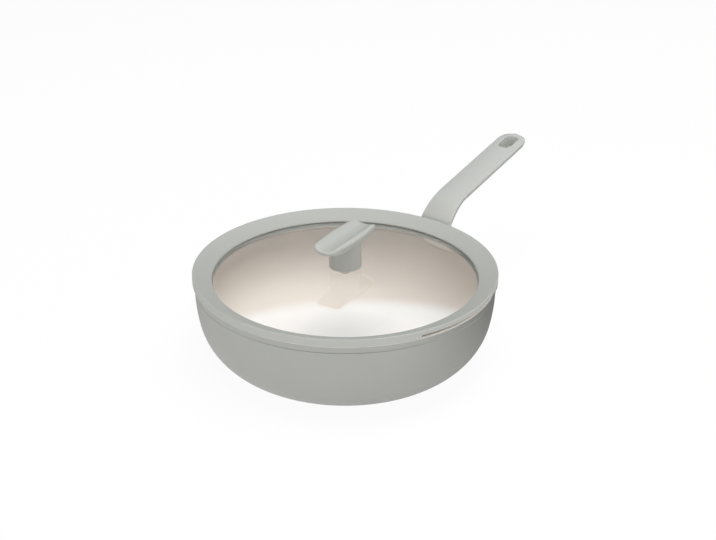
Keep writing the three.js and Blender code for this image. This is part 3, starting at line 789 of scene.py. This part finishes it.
class HandleShape:
    """The handle's top line, its outline seen from above and its cross-sections."""

    ROOT_STEPS = 4
    BEND_STEPS = 44
    GRIP_STEPS = 20
    END_STEPS = 24
    TOP_STEPS = 16
    UNDER_STEPS = 36

    def __init__(self):
        self.sizes = sizes = bpy.context.scene.wok_handle
        pan = PanShape()
        self.root = Vector((pan.wall_top, pan.band_bottom - sizes.root_drop))
        self.bend_start = self.root + sizes.neck_length * self.heading(sizes.neck_rise)
        self.bend_centre = self.bend_start + sizes.bend_radius * self.below(sizes.neck_rise)
        self.bend_end = self.bend_centre - sizes.bend_radius * self.below(sizes.grip_rise)
        self.grip_start = sizes.neck_length + sizes.bend_radius * (sizes.neck_rise - sizes.grip_rise)
        self.length = self.grip_start + (sizes.reach - self.bend_end.x) / math.cos(sizes.grip_rise)
        self.end_start = self.length - sizes.end_round

    @staticmethod
    def heading(rise):
        return Vector((math.cos(rise), math.sin(rise)))

    @staticmethod
    def below(rise):
        return Vector((math.sin(rise), -math.cos(rise)))

    def line(self, at):
        """Place and slope of the top line at a length from the wall."""
        sizes = self.sizes
        if at < sizes.neck_length:
            return self.root + at * self.heading(sizes.neck_rise), sizes.neck_rise
        if at < self.grip_start:
            rise = sizes.neck_rise - (at - sizes.neck_length) / sizes.bend_radius
            return self.bend_centre - sizes.bend_radius * self.below(rise), rise
        return self.bend_end + (at - self.grip_start) * self.heading(sizes.grip_rise), sizes.grip_rise

    def half_width(self, at):
        sizes = self.sizes
        nose = width_left(at - self.end_start, sizes.end_round, sizes.end_fullness)
        return mix(sizes.neck_width, sizes.grip_width, ease(at, 0, self.grip_start)) / 2 * nose

    def depth(self, at):
        sizes = self.sizes
        run = max(0, (at - self.end_start) / sizes.end_round)
        root = mix(sizes.root_depth, sizes.neck_depth, ease(at, 0, sizes.root_blend))
        full = mix(root, sizes.grip_depth, ease(at, sizes.root_blend, self.grip_start))
        return full * (1 - sizes.end_thinning * run ** 2)

    def frame_at(self, at):
        """A matrix whose X runs along the handle and whose Z stands on its top."""
        place, rise = self.line(at)
        return Matrix.Translation((place.x, 0, place.y)) @ Matrix.Rotation(-rise, 4, "Y")

    def stations(self):
        """Lengths from the wall at which the sections stand, closer together where the shape turns."""
        overlap = bpy.context.scene.wok_pan.wall + self.sizes.neck_length
        root = spread(-overlap, 0, self.ROOT_STEPS)[:-1]
        bend = spread(0, self.grip_start, self.BEND_STEPS)[:-1]
        grip = spread(self.grip_start, self.end_start, self.GRIP_STEPS)[:-1]
        return root + bend + grip + rounded_end(self.end_start, self.sizes.end_round, self.END_STEPS)

    def around(self):
        """Steps round a section.

        On the top and its edges, a step is a share of the half-width, how far in from the edge it lies, and
        how far down. On the underside, it is only an angle.
        """
        top = [(side, 1.0, 0.0) for side in spread(-1, 1, self.TOP_STEPS)]
        turns = spread(0, math.pi / 2, CORNER_STEPS)[1:]
        right = [(1.0, 1 - math.sin(angle), 1 - math.cos(angle)) for angle in turns]
        left = [(-side, inset, fall) for side, inset, fall in reversed(right)]
        under = [(None, angle, None) for angle in spread(0, math.pi, self.UNDER_STEPS)[1:-1]]
        return top + right + under + left

    def place(self, at, step):
        sizes = self.sizes
        half = self.half_width(at)
        if at >= self.length:
            normal = Vector((1, 0))
        else:
            tiny = sizes.end_round * SLOPE_STEP
            slope = (self.half_width(at) - self.half_width(at - tiny)) / tiny
            normal = Vector((-slope, 1)).normalized()
        edge = sizes.edge_round
        side, inset, fall = step
        if side is None:
            angle = inset
            power = 2 / mix(sizes.neck_fullness, sizes.grip_fullness, ease(at, 0, self.grip_start))
            shoulder = sizes.crown + edge
            across = math.copysign(abs(math.cos(angle)) ** power, math.cos(angle)) * half
            drop = shoulder + (self.depth(at) - shoulder) * math.sin(angle) ** power
            along = at
        else:
            along = at - inset * edge * normal.x
            across = side * max(0, half - inset * edge * normal.y)
            drop = sizes.crown * side ** 2 + fall * edge
        top, rise = self.line(along)
        down = self.below(rise * ease(along, 0, sizes.root_blend)) * drop
        return top.x + down.x, across, top.y + down.y


def bowl_cutter():
    """The bowl filled up and grown by the clearance."""
    pan = bpy.context.scene.wok_pan
    shape = PanShape()
    bm = bmesh.new()
    pen = Pen(bm, 0, pan.underside)
    pen.line(shape.base, pan.underside)
    shape.outer.climb(pen)
    for vertex in bm.verts:
        vertex.co.x += GAP if vertex.co.x else 0
    pen.line(pan.rim_radius + GAP, shape.band_bottom - GAP)
    pen.line(pan.rim_radius + GAP, pan.height)
    pen.line(0, pan.height)
    revolve(bm)
    return solid("bowl_cutter", bm)


def screw_frame(shape):
    """A matrix whose Z is the handle screw's axis, from the neck's top line."""
    return shape.frame_at(0) @ Matrix.Translation((shape.sizes.screw_at, 0, 0))


def rod_cutter(shape, radius, from_depth, to_depth):
    """A hole along the handle screw, between two depths below the neck's top line."""
    bm = bmesh.new()
    pen = Pen(bm, 0, -to_depth)
    pen.line(radius, -to_depth)
    pen.line(radius, -from_depth)
    pen.line(0, -from_depth)
    revolve(bm, SMALL_ROUND)
    return solid("rod_cutter", bm, screw_frame(shape))


def tongue_cutter(shape):
    sizes = shape.sizes
    size = Vector((sizes.lug_length + sizes.root_depth, sizes.lug_width, sizes.lug_thickness))
    size += Vector((GAP, 2 * GAP, 2 * GAP))
    middle = Vector((size.x / 2 - sizes.root_depth, 0, -sizes.lug_cover - sizes.lug_thickness / 2))
    bm = bmesh.new()
    bmesh.ops.create_cube(bm, size=1, matrix=Matrix.Translation(middle) @ Matrix.Diagonal((*size, 1)))
    return solid("tongue_cutter", bm, shape.frame_at(0))


# Facets of the hanging slot's upper edge and of each of its corners
SLOT_LIP_STEPS = 6
SLOT_CORNER_STEPS = 10


def slot_cutter(shape):
    """The hanging slot: a rounded rectangle that narrows downwards, with a rounded upper edge."""
    sizes = shape.sizes
    lip = sizes.slot_lip
    lean = math.tan(sizes.slot_draft)
    turns = spread(0, math.pi / 2, SLOT_LIP_STEPS)
    curve = [(-lip * (1 - math.cos(angle)), lip * (1 - math.sin(angle))) for angle in turns]
    floor = -sizes.grip_depth - SLOT_PAST
    levels = [(SLOT_PAST, lip), *curve, (floor, (floor + lip) * lean)]
    corner_turns = spread(0, math.pi / 2, SLOT_CORNER_STEPS)
    outline = [(quarter, angle) for quarter in range(4) for angle in corner_turns]
    centre = Vector((sizes.slot_length / 2 - sizes.slot_corner, sizes.slot_width / 2 - sizes.slot_corner))

    def place(height_and_grow, step):
        height, grow = height_and_grow
        quarter, angle = step
        corner = sizes.slot_corner + grow
        signs = [(1, 1), (-1, 1), (-1, -1), (1, -1)][quarter]
        ray = angle + quarter * math.pi / 2
        x = signs[0] * centre.x + corner * math.cos(ray)
        y = signs[1] * centre.y + corner * math.sin(ray)
        half = shape.half_width(shape.length - sizes.slot_inset)
        return x, y, height - sizes.crown * (y / half) ** 2

    bm = wrap(levels, outline, place)
    return solid("slot_cutter", bm, shape.frame_at(shape.length - sizes.slot_inset))


class WOK_OT_handle_grip(Operator):
    """Lofts the handle, fits its root to the bowl and cuts its slot, pocket and screw hole"""

    bl_idname = "wok.handle_grip"
    bl_label = "Handle grip"

    def execute(self, context):
        shape = HandleShape()
        sizes = shape.sizes
        grip = solid("handle", wrap(shape.stations(), shape.around(), shape.place))
        seat = sizes.lug_cover + sizes.lug_thickness + GAP + sizes.screw_seat
        carve(grip, [
            bowl_cutter(),
            tongue_cutter(shape),
            rod_cutter(shape, sizes.screw_radius + GAP, sizes.lug_cover - GAP, seat + GAP),
            rod_cutter(shape, sizes.head_radius + GAP, seat, seat + sizes.head_height + 2 * PAST),
            slot_cutter(shape),
        ])
        dress(grip, "pan", "moulded_grey", ["handle_grip"], [grey_moulding()], weighted=True)
        return {"FINISHED"}


# Shares of a screw's head and shank that its edges and socket take
HEAD_ROUND = 1 / 3
SHANK_ROUND = 1 / 6
SOCKET_WIDTH = 0.55
SOCKET_DEPTH = 0.6


def screw_body(head_radius, head_height, radius, shank):
    """A screw with its head below z = 0 and its shank above, and a six-sided socket in the head."""
    bm = bmesh.new()
    pen = Pen(bm, 0, -head_height)
    rim = pen.line(head_radius, -head_height)
    shoulder = pen.line(head_radius, 0)
    pen.line(radius, 0)
    tip = pen.line(radius, shank)
    pen.line(0, shank)
    round_corners(bm, [rim], HEAD_ROUND * head_height)
    round_corners(bm, [shoulder, tip], SHANK_ROUND * radius)
    revolve(bm, SMALL_ROUND)
    screw = solid("screw", bm)
    socket = bmesh.new()
    across = SOCKET_WIDTH * head_radius
    bmesh.ops.create_cone(socket, cap_ends=True, segments=6, radius1=across, radius2=across,
                          depth=2 * SOCKET_DEPTH * head_height,
                          matrix=Matrix.Translation((0, 0, -head_height)))
    carve(screw, [solid("socket", socket)])
    return screw


# Share of its thickness that a spring washer climbs, and how far it goes round
WASHER_CLIMB = 1 / 5
WASHER_SWEEP = math.radians(345)


def spring_washer(inner, outer, thickness):
    """A split ring that climbs a little from one end to the other."""
    climb = WASHER_CLIMB * thickness
    bm = bmesh.new()
    pen = Pen(bm, inner, 0)
    first = pen.at
    for corner in ((outer, 0), (outer, thickness - climb), (inner, thickness - climb)):
        pen.line(*corner)
    pen.close(first)
    bmesh.ops.spin(bm, geom=bm.verts[:] + bm.edges[:], cent=(0, 0, 0), axis=(0, 0, 1), angle=WASHER_SWEEP,
                   steps=SMALL_ROUND, dvec=(0, 0, climb / SMALL_ROUND))
    close_ends(bm)
    return solid("spring_washer", bm)


class WOK_OT_handle_fixings(Operator):
    """Finishes the tongue and makes the handle's screw and its spring washer"""

    bl_idname = "wok.handle_fixings"
    bl_label = "Handle fixings"

    def execute(self, context):
        shape = HandleShape()
        sizes = shape.sizes
        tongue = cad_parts["handle_lug"].data
        tongue.materials.clear()
        tongue.materials.append(bare_aluminium())
        washer_top = sizes.lug_cover + sizes.lug_thickness + sizes.screw_seat + 2 * GAP
        head_top = washer_top + sizes.washer_thickness + GAP
        shank = head_top - sizes.lug_cover
        screw = screw_body(sizes.head_radius, sizes.head_height, sizes.screw_radius, shank)
        screw.name = "handle_bolt"
        screw.data.transform(screw_frame(shape) @ Matrix.Translation((0, 0, -head_top)))
        dress(screw, "pan", "steel", ["handle_screw"], [steel()])
        washer = spring_washer(sizes.screw_radius + GAP, sizes.washer_radius, sizes.washer_thickness)
        washer.data.transform(screw_frame(shape) @ Matrix.Translation((0, 0, -head_top + GAP)))
        dress(washer, "pan", "steel", ["handle_lock_washer"], [steel()])
        return {"FINISHED"}


# Lid


class LidShape:
    """Places on the lid's rim and glass."""

    def __init__(self):
        self.sizes = lid = bpy.context.scene.wok_lid
        self.inner = lid.radius - lid.flange_width
        self.inner_height = lid.edge_height - lid.flange_fall
        glass_edge = self.inner_height - lid.upper_lip - GAP
        self.dome = (self.inner ** 2 + lid.dome_rise ** 2) / (2 * lid.dome_rise)
        self.dome_centre = glass_edge + lid.dome_rise - self.dome
        self.groove = self.inner + lid.glass_grip
        self.plug = PanShape().mouth - lid.plug_clearance
        self.plug_bottom = self.under(self.groove) - GAP - lid.lower_lip

    def flange(self, radius):
        run = (radius - self.inner) / self.sizes.flange_width
        return mix(self.inner_height, self.sizes.edge_height, run)

    def top(self, radius):
        return self.dome_centre + math.sqrt(self.dome ** 2 - radius ** 2)

    def under(self, radius):
        return self.dome_centre + math.sqrt((self.dome - self.sizes.glass) ** 2 - radius ** 2)


def draw_rim(bm, shape, with_slot):
    """The rim's section, whole or where a pour slot cuts its skirt and plug."""
    lid = shape.sizes
    inside = shape.plug - lid.slot_inside
    roof = shape.flange(shape.plug) - lid.slot_roof
    reach = shape.inner - lid.lower_reach
    pen = Pen(bm, reach, shape.under(reach) - GAP - lid.lower_lip)
    first = pen.at
    pen.line(shape.groove, shape.plug_bottom)
    pen.line(inside, shape.plug_bottom)
    skirt = []
    if with_slot:
        pen.line(inside, shape.flange(inside) - lid.slot_roof)
        pen.line(shape.plug, roof)
    else:
        skirt.append(pen.line(shape.plug, shape.plug_bottom))
        pen.line(shape.plug, lid.seat)
        skirt.append(pen.line(lid.radius, lid.seat))
    pen.line(lid.radius, roof)
    edge = pen.line(lid.radius, lid.edge_height)
    lip = pen.line(shape.inner, shape.inner_height)
    pen.line(shape.inner, shape.top(shape.inner) + lid.lip_gap)
    pen.line(shape.groove, shape.top(shape.groove) + lid.lip_gap)
    pen.line(shape.groove, shape.under(shape.groove) - GAP)
    pen.line(reach, shape.under(reach) - GAP)
    pen.close(first)
    round_corners(bm, [edge], lid.edge_round)
    round_corners(bm, [lip], lid.lip_round)
    if skirt:
        round_corners(bm, skirt, lid.skirt_round)


def rim_sector(shape, with_slot, start, span):
    """One stretch of the rim, open at both ends."""
    bm = bmesh.new()
    draw_rim(bm, shape, with_slot)
    bmesh.ops.rotate(bm, verts=bm.verts[:], cent=(0, 0, 0), matrix=Matrix.Rotation(start, 3, "Z"))
    bmesh.ops.spin(bm, geom=bm.verts[:] + bm.edges[:], cent=(0, 0, 0), axis=(0, 0, 1), angle=span,
                   steps=round(ROUND * span / math.tau))
    mesh = bpy.data.meshes.new("sector")
    bm.to_mesh(mesh)
    bm.free()
    return mesh


class WOK_OT_lid_rim(Operator):
    """Turns the lid's soft rim in stretches, with a pour slot on either side"""

    bl_idname = "wok.lid_rim"
    bl_label = "Lid rim"

    def execute(self, context):
        shape = LidShape()
        lid = shape.sizes
        bm = bmesh.new()
        for towards in (-math.pi / 2, math.pi / 2):
            slot_start = towards - lid.slot_span / 2
            slot_end = towards + lid.slot_span / 2
            stretches = [(True, slot_start, lid.slot_span), (False, slot_end, math.pi - lid.slot_span)]
            for with_slot, start, span in stretches:
                mesh = rim_sector(shape, with_slot, start, span)
                bm.from_mesh(mesh)
                bpy.data.meshes.remove(mesh)
        close_ends(bm)
        rim = solid("lid_soft_rim", bm)
        dress(rim, "lid", "silicone_grey", ["lid_rim"], [grey_silicone()], weighted=True)
        return {"FINISHED"}


class WOK_OT_lid_glass(Operator):
    """Turns the domed glass with its hole"""

    bl_idname = "wok.lid_glass"
    bl_label = "Lid glass"

    STEPS = 40

    def execute(self, context):
        shape = LidShape()
        lid = shape.sizes
        edge = GLASS_HIGH.x
        centre = Vector((0, shape.dome_centre))
        under = shape.dome - lid.glass
        bm = bmesh.new()
        pen = Pen(bm, lid.glass_hole, shape.under(lid.glass_hole))
        corners = [pen.at]
        sweep = math.asin(edge / under) - math.asin(lid.glass_hole / under)
        corners.append(pen.arc(centre, -sweep, self.STEPS))
        corners.append(pen.line(edge, shape.top(edge)))
        sweep = math.asin(edge / shape.dome) - math.asin(lid.glass_hole / shape.dome)
        corners.append(pen.arc(centre, sweep, self.STEPS))
        pen.close(corners[0])
        round_corners(bm, corners, lid.glass_round)
        revolve(bm)
        glass = solid("lid_dome", bm)
        dress(glass, "lid", "glass", ["lid_glass"], [clear_glass()])
        return {"FINISHED"}


# Knob


class KnobShape:
    """The knob's rest: its outline from above and its cross-sections, its long way along X."""

    SIDE_STEPS = 26
    END_STEPS = 22
    LIP_STEPS = 4
    TROUGH_STEPS = 32
    UNDER_STEPS = 32

    # Share of a lip's width that its outer rounding takes at most
    LIP_ROUND = 0.75

    def __init__(self):
        self.sizes = knob = bpy.context.scene.wok_knob
        self.half_length = knob.plate_length / 2
        self.end_start = self.half_length - knob.end_round

    def bowed(self, middle, end, along):
        """Half of a width that changes from the middle to the ends."""
        return mix(middle, end, (along / self.end_start) ** 2) / 2

    def half_width(self, along):
        knob = self.sizes
        nose = width_left(abs(along) - self.end_start, knob.end_round, knob.end_fullness)
        return self.bowed(knob.plate_width, knob.end_width, min(abs(along), self.end_start)) * nose

    def fall(self, along, across):
        """How far the top lies below the knob's highest plane."""
        knob = self.sizes
        run = max(0, (abs(along) - self.end_start) / knob.end_round)
        trough = self.trough_half(along)
        dip = knob.trough_depth * max(0, 1 - abs(across / trough) ** knob.trough_fullness)
        return max(knob.tip_drop * run ** 2, dip)

    def trough_half(self, along):
        knob = self.sizes
        middle = knob.plate_width - 2 * knob.trough_lip
        return self.bowed(middle, knob.end_width - 2 * knob.trough_end_lip, along)

    def stations(self):
        nose = rounded_end(self.end_start, self.sizes.end_round, self.END_STEPS)
        side = spread(0, self.end_start, self.SIDE_STEPS)[:-1] + nose
        return [-along for along in reversed(side[1:])] + side

    def around(self):
        """Steps round a section: which part of it, and how far through that part."""
        lips = spread(0, 1, self.LIP_STEPS)
        turns = spread(0, math.pi / 2, FINE_CORNER_STEPS)[1:]
        steps = [("lip", -1, part) for part in lips[:-1]]
        steps += [("trough", 0, part) for part in spread(-1, 1, self.TROUGH_STEPS)]
        steps += [("lip", 1, 1 - part) for part in lips[1:]]
        steps += [("corner", 1, angle) for angle in turns]
        steps += [("under", 0, angle) for angle in spread(0, math.pi, self.UNDER_STEPS)]
        steps += [("corner", -1, angle) for angle in reversed(turns)]
        return steps

    def place(self, along, step):
        knob = self.sizes
        part, side, through = step
        half = self.half_width(along)
        normal = self.normal(along)
        edge = self.rounding(along)
        inset = edge * (1 - math.sin(through)) if part == "corner" else edge
        if part == "under":
            toward_end = (along / self.half_length) ** 2
            upright = mix(knob.edge, knob.end_edge, toward_end)
            thickness = mix(knob.thickness, knob.end_thickness, toward_end)
            depth = mix(upright, thickness, math.sin(through))
            return along, half * math.cos(through), knob.top - depth
        x = along - inset * normal.x
        limit = max(0, half - inset * normal.y)
        trough = min(limit, self.trough_half(x))
        if part == "corner":
            top_edge = max(0, half - edge * normal.y)
            fall = self.fall(along - edge * normal.x, top_edge) + edge * (1 - math.cos(through))
            return x, side * limit, knob.top - fall
        y = through * trough if part == "trough" else side * mix(limit, trough, through)
        return x, y, knob.top - self.fall(x, y)

    def rounding(self, along):
        """Rounding of the outer edge, which the narrower lips near the ends limit."""
        knob = self.sizes
        toward_end = (along / self.half_length) ** 2
        return min(knob.edge_round, self.LIP_ROUND * mix(knob.trough_lip, knob.trough_end_lip, toward_end))

    def normal(self, along):
        """Direction out of the outline, seen from above."""
        if abs(along) >= self.half_length:
            return Vector((math.copysign(1, along), 0))
        tiny = self.sizes.end_round * SLOPE_STEP
        back = along - math.copysign(tiny, along)
        slope = (self.half_width(along) - self.half_width(back)) / (along - back)
        return Vector((-slope, 1)).normalized()


class WOK_OT_knob(Operator):
    """Lofts the knob's trough-topped rest and joins it to its stem"""

    bl_idname = "wok.knob"
    bl_label = "Knob"

    def execute(self, context):
        shape = KnobShape()
        knob = shape.sizes
        body = solid("knob", wrap(shape.stations(), shape.around(), shape.place))
        socket = Vector((INSERT_HIGH.x + GAP, INSERT_HIGH.z + GAP))
        stem_top = knob.top - (knob.thickness + knob.trough_depth) / 2
        bm = bmesh.new()
        pen = Pen(bm, 0, socket.y)
        pen.line(socket.x, socket.y)
        pen.line(socket.x, knob.foot)
        foot = pen.line(knob.stem_radius, knob.foot)
        pen.line(knob.stem_radius, stem_top)
        pen.line(0, stem_top)
        round_corners(bm, [foot], knob.stem_ease)
        revolve(bm, STEM_ROUND)
        carve(body, [solid("stem", bm)], "UNION")
        body.data.transform(Matrix.Rotation(knob.lid_turn, 4, "Z"))
        dress(body, "lid", "moulded_grey", ["knob_body"], [grey_moulding()], weighted=True)
        return {"FINISHED"}


def turned_ring(name, inner, outer, bottom, top, rounding):
    bm = bmesh.new()
    pen = Pen(bm, inner, bottom)
    first = pen.at
    corners = [pen.line(outer, bottom), pen.line(outer, top), pen.line(inner, top)]
    pen.close(first)
    round_corners(bm, [first, *corners], rounding)
    revolve(bm, SMALL_ROUND)
    return solid(name, bm)


class WOK_OT_knob_fixings(Operator):
    """Makes the knob's insert, gasket, seal, washer and screw"""

    bl_idname = "wok.knob_fixings"
    bl_label = "Knob fixings"

    # Share of a washer's thickness that its edges are rounded by
    ROUNDING = 1 / 4

    def execute(self, context):
        knob = context.scene.wok_knob
        lid = context.scene.wok_lid
        bore = knob.thread_radius + GAP
        rings = [
            ("thread_insert", bore, INSERT_LOW, INSERT_HIGH, "knob_insert", "brass", brass()),
            ("foot_gasket", lid.glass_hole, GASKET_LOW, GASKET_HIGH, "knob_gasket", "silicone_clear",
             clear_silicone()),
            ("glass_seal", bore, SEAL_LOW, SEAL_HIGH, "knob_seal", "silicone_clear", clear_silicone()),
            ("clamp_washer", bore, WASHER_LOW, WASHER_HIGH, "knob_washer", "steel", steel()),
        ]
        for name, inner, low, high, node, slot, finish in rings:
            rounding = GAP if node == "knob_insert" else self.ROUNDING * (high.z - low.z)
            ring = turned_ring(name, inner, high.x, low.z, high.z, rounding)
            dress(ring, "lid", slot, [node], [finish])
        head_top = SCREW_LOW.z + knob.head_height
        screw = screw_body(SCREW_HIGH.x, knob.head_height, knob.thread_radius, SCREW_HIGH.z - head_top)
        screw.name = "knob_bolt"
        screw.data.transform(Matrix.Translation((0, 0, head_top)))
        dress(screw, "lid", "steel", ["knob_screw"], [steel()])
        return {"FINISHED"}


# Stage

# The way in which the painted shade that reflections show of the floor grows light, in shares of the ways to
# the camera and to its right
FLOOR_TOWARD = 0.88
FLOOR_RIGHT = -0.47

# Cosines between which the studio's light changes: the panel's top and sides, the room's front and ceiling
PANEL_TOP = (0.78, 0.86)
PANEL_SIDES = (0.42, 0.56)
ROOM_FRONT = (-0.7, 0.1)
ROOM_CEILING = (0.2, 0.55)

# Tints of the studio and of its panel
PLAIN_WHITE = (1, 1, 1)
COOL_WHITE = (0.8, 0.98, 1.15)


def white_floor(stage, lighter):
    """White to the camera and through glass, with a painted shade to one side in reflections, and pale to
    other light.
    """
    finish, tree, shader = new_finish("floor_white")
    shader.inputs["Base Color"].default_value = (*PLAIN_WHITE, 1)
    shader.inputs["Roughness"].default_value = 1.0
    shader.inputs["Specular IOR Level"].default_value = 0.0
    path = tree.nodes.new("ShaderNodeLightPath")
    clear = combine(tree, "MAXIMUM", path.outputs["Is Camera Ray"], path.outputs["Is Transmission Ray"])
    place = tree.nodes.new("ShaderNodeTexCoord").outputs["Object"]
    # Painted shade: for reflections only, the floor's glow fades to dark towards the back right, as if shaded
    # there
    across = distance_along(tree, place, lighter)
    shaded = ramp(tree, across, -stage.floor_fade, stage.floor_fade, stage.floor_shade, 1.0)
    glow = tree.nodes.new("ShaderNodeEmission")
    link(tree, combine(tree, "MAXIMUM", clear, shaded), glow.inputs["Strength"])
    seen = combine(tree, "MAXIMUM", clear, path.outputs["Is Glossy Ray"])
    white = combine(tree, "MULTIPLY", seen, stage.floor_white)
    show_surface(tree, blend_shaders(tree, white, shader.outputs["BSDF"], glow.outputs["Emission"]))
    return finish


def light_sky(stage, toward, right):
    """White to the camera and through glass, and else a soft studio with a bright panel at the back."""
    world = bpy.data.worlds.new("studio")
    world.use_nodes = True
    bpy.context.scene.world = world
    tree = world.node_tree
    direction = tree.nodes.new("ShaderNodeTexCoord").outputs["Generated"]
    up = Vector((0, 0, 1))
    edge = math.sin(stage.panel_edge)
    tilted = distance_along(tree, direction, up + stage.panel_tilt * right)
    above = ramp(tree, tilted, edge - stage.panel_blur, edge + stage.panel_blur)
    below = ramp(tree, tilted, *PANEL_TOP, stage.panel, 0.0)
    behind = ramp(tree, distance_along(tree, direction, -toward), *PANEL_SIDES)
    panel = combine(tree, "MULTIPLY", combine(tree, "MULTIPLY", above, below), behind)
    ahead = distance_along(tree, direction, toward)
    front = ramp(tree, ahead, *ROOM_FRONT, stage.sky_dark, stage.sky_bright)
    ceiling = ramp(tree, distance_along(tree, direction, up), *ROOM_CEILING, 1.0, stage.sky_top)
    room = combine(tree, "MULTIPLY", front, ceiling)
    path = tree.nodes.new("ShaderNodeLightPath")
    mirrored = combine(tree, "MULTIPLY", panel, path.outputs["Is Glossy Ray"])
    seen = combine(tree, "MAXIMUM", path.outputs["Is Camera Ray"], path.outputs["Is Transmission Ray"])
    strength = tree.nodes.new("ShaderNodeMix")
    strength.inputs["B"].default_value = 1.0
    link(tree, combine(tree, "ADD", mirrored, room), strength.inputs["A"])
    link(tree, seen, strength.inputs["Factor"])
    sky = tree.nodes["Background"]
    link(tree, blend_colours(tree, mirrored, PLAIN_WHITE, COOL_WHITE), sky.inputs["Color"])
    link(tree, strength.outputs["Result"], sky.inputs["Strength"])


def soft_box(name, place, target, width, height, radiance):
    """A rectangular lamp that faces its target, with the power of a matt surface of that radiance."""
    lamp = bpy.data.lights.new(name, "AREA")
    lamp.shape = "RECTANGLE"
    lamp.size = width
    lamp.size_y = height
    lamp.energy = radiance * math.pi * width * height
    thing = bpy.data.objects.new(name, lamp)
    bpy.context.scene.collection.objects.link(thing)
    thing.location = place
    thing.rotation_euler = (place - target).to_track_quat("Z", "Y").to_euler()


class WOK_OT_stage(Operator):
    """Lays the floor and sets up the light and the camera"""

    bl_idname = "wok.stage"
    bl_label = "Stage"

    def execute(self, context):
        stage = context.scene.wok_stage
        bm = bmesh.new()
        bmesh.ops.create_grid(bm, x_segments=1, y_segments=1, size=stage.floor_size / 2)
        floor = solid("floor", bm)
        centre = Vector((0, 0, stage.look_height))
        toward = Vector((math.sin(stage.azimuth), -math.cos(stage.azimuth), 0))
        right = Vector((-toward.y, toward.x, 0))
        floor.data.materials.append(white_floor(stage, FLOOR_TOWARD * toward + FLOOR_RIGHT * right))
        light_sky(stage, toward, right)
        lamp = centre + stage.key_forward * toward + stage.key_right * right + Vector((0, 0, stage.key_rise))
        soft_box("key", lamp, centre, stage.key_width, stage.key_depth, stage.key_radiance)
        back = toward * math.cos(stage.elevation) + Vector((0, 0, math.sin(stage.elevation)))
        camera = bpy.data.objects.new("camera", bpy.data.cameras.new("camera"))
        context.scene.collection.objects.link(camera)
        camera.location = centre + back * stage.distance
        camera.rotation_euler = back.to_track_quat("Z", "Y").to_euler()
        camera.data.sensor_width = SENSOR_WIDTH
        camera.data.lens = stage.focal_pixels / PHOTO_WIDTH * SENSOR_WIDTH
        camera.data.shift_x = stage.shift_right
        camera.data.shift_y = -stage.shift_down
        context.scene.camera = camera
        context.scene.view_settings.view_transform = "Standard"
        return {"FINISHED"}


class WOK_PT_sidebar(Panel):
    """Lists the pieces of the wok and their sizes"""

    bl_idname = "WOK_PT_sidebar"
    bl_label = "Wok with lid"
    bl_space_type = "VIEW_3D"
    bl_region_type = "UI"
    bl_category = "Wok"

    def draw(self, context):
        for operator in OPERATORS:
            self.layout.operator(operator.bl_idname)
        for title in SETTINGS:
            group = getattr(context.scene, title)
            box = self.layout.box()
            for name in group.bl_rna.properties.keys():
                if name not in ("name", "rna_type"):
                    box.prop(group, name)


SETTINGS = {
    "wok_pan": PanSizes,
    "wok_handle": HandleSizes,
    "wok_lid": LidSizes,
    "wok_knob": KnobSizes,
    "wok_finish": Finishes,
    "wok_stage": StageSizes,
}
OPERATORS = (
    WOK_OT_pan_bowl,
    WOK_OT_base_plate,
    WOK_OT_handle_grip,
    WOK_OT_handle_fixings,
    WOK_OT_lid_rim,
    WOK_OT_lid_glass,
    WOK_OT_knob,
    WOK_OT_knob_fixings,
    WOK_OT_stage,
)


def register():
    for group in SETTINGS.values():
        bpy.utils.register_class(group)
    for title, group in SETTINGS.items():
        setattr(bpy.types.Scene, title, PointerProperty(type=group))
    for operator in OPERATORS:
        bpy.utils.register_class(operator)
    bpy.utils.register_class(WOK_PT_sidebar)


def unregister():
    bpy.utils.unregister_class(WOK_PT_sidebar)
    for operator in reversed(OPERATORS):
        bpy.utils.unregister_class(operator)
    for title, group in SETTINGS.items():
        delattr(bpy.types.Scene, title)
        bpy.utils.unregister_class(group)


def main():
    register()
    bpy.ops.wok.pan_bowl()
    bpy.ops.wok.base_plate()
    bpy.ops.wok.handle_grip()
    bpy.ops.wok.handle_fixings()
    bpy.ops.wok.lid_rim()
    bpy.ops.wok.lid_glass()
    bpy.ops.wok.knob()
    bpy.ops.wok.knob_fixings()
    bpy.ops.wok.stage()


if __name__ == "__main__":
    main()
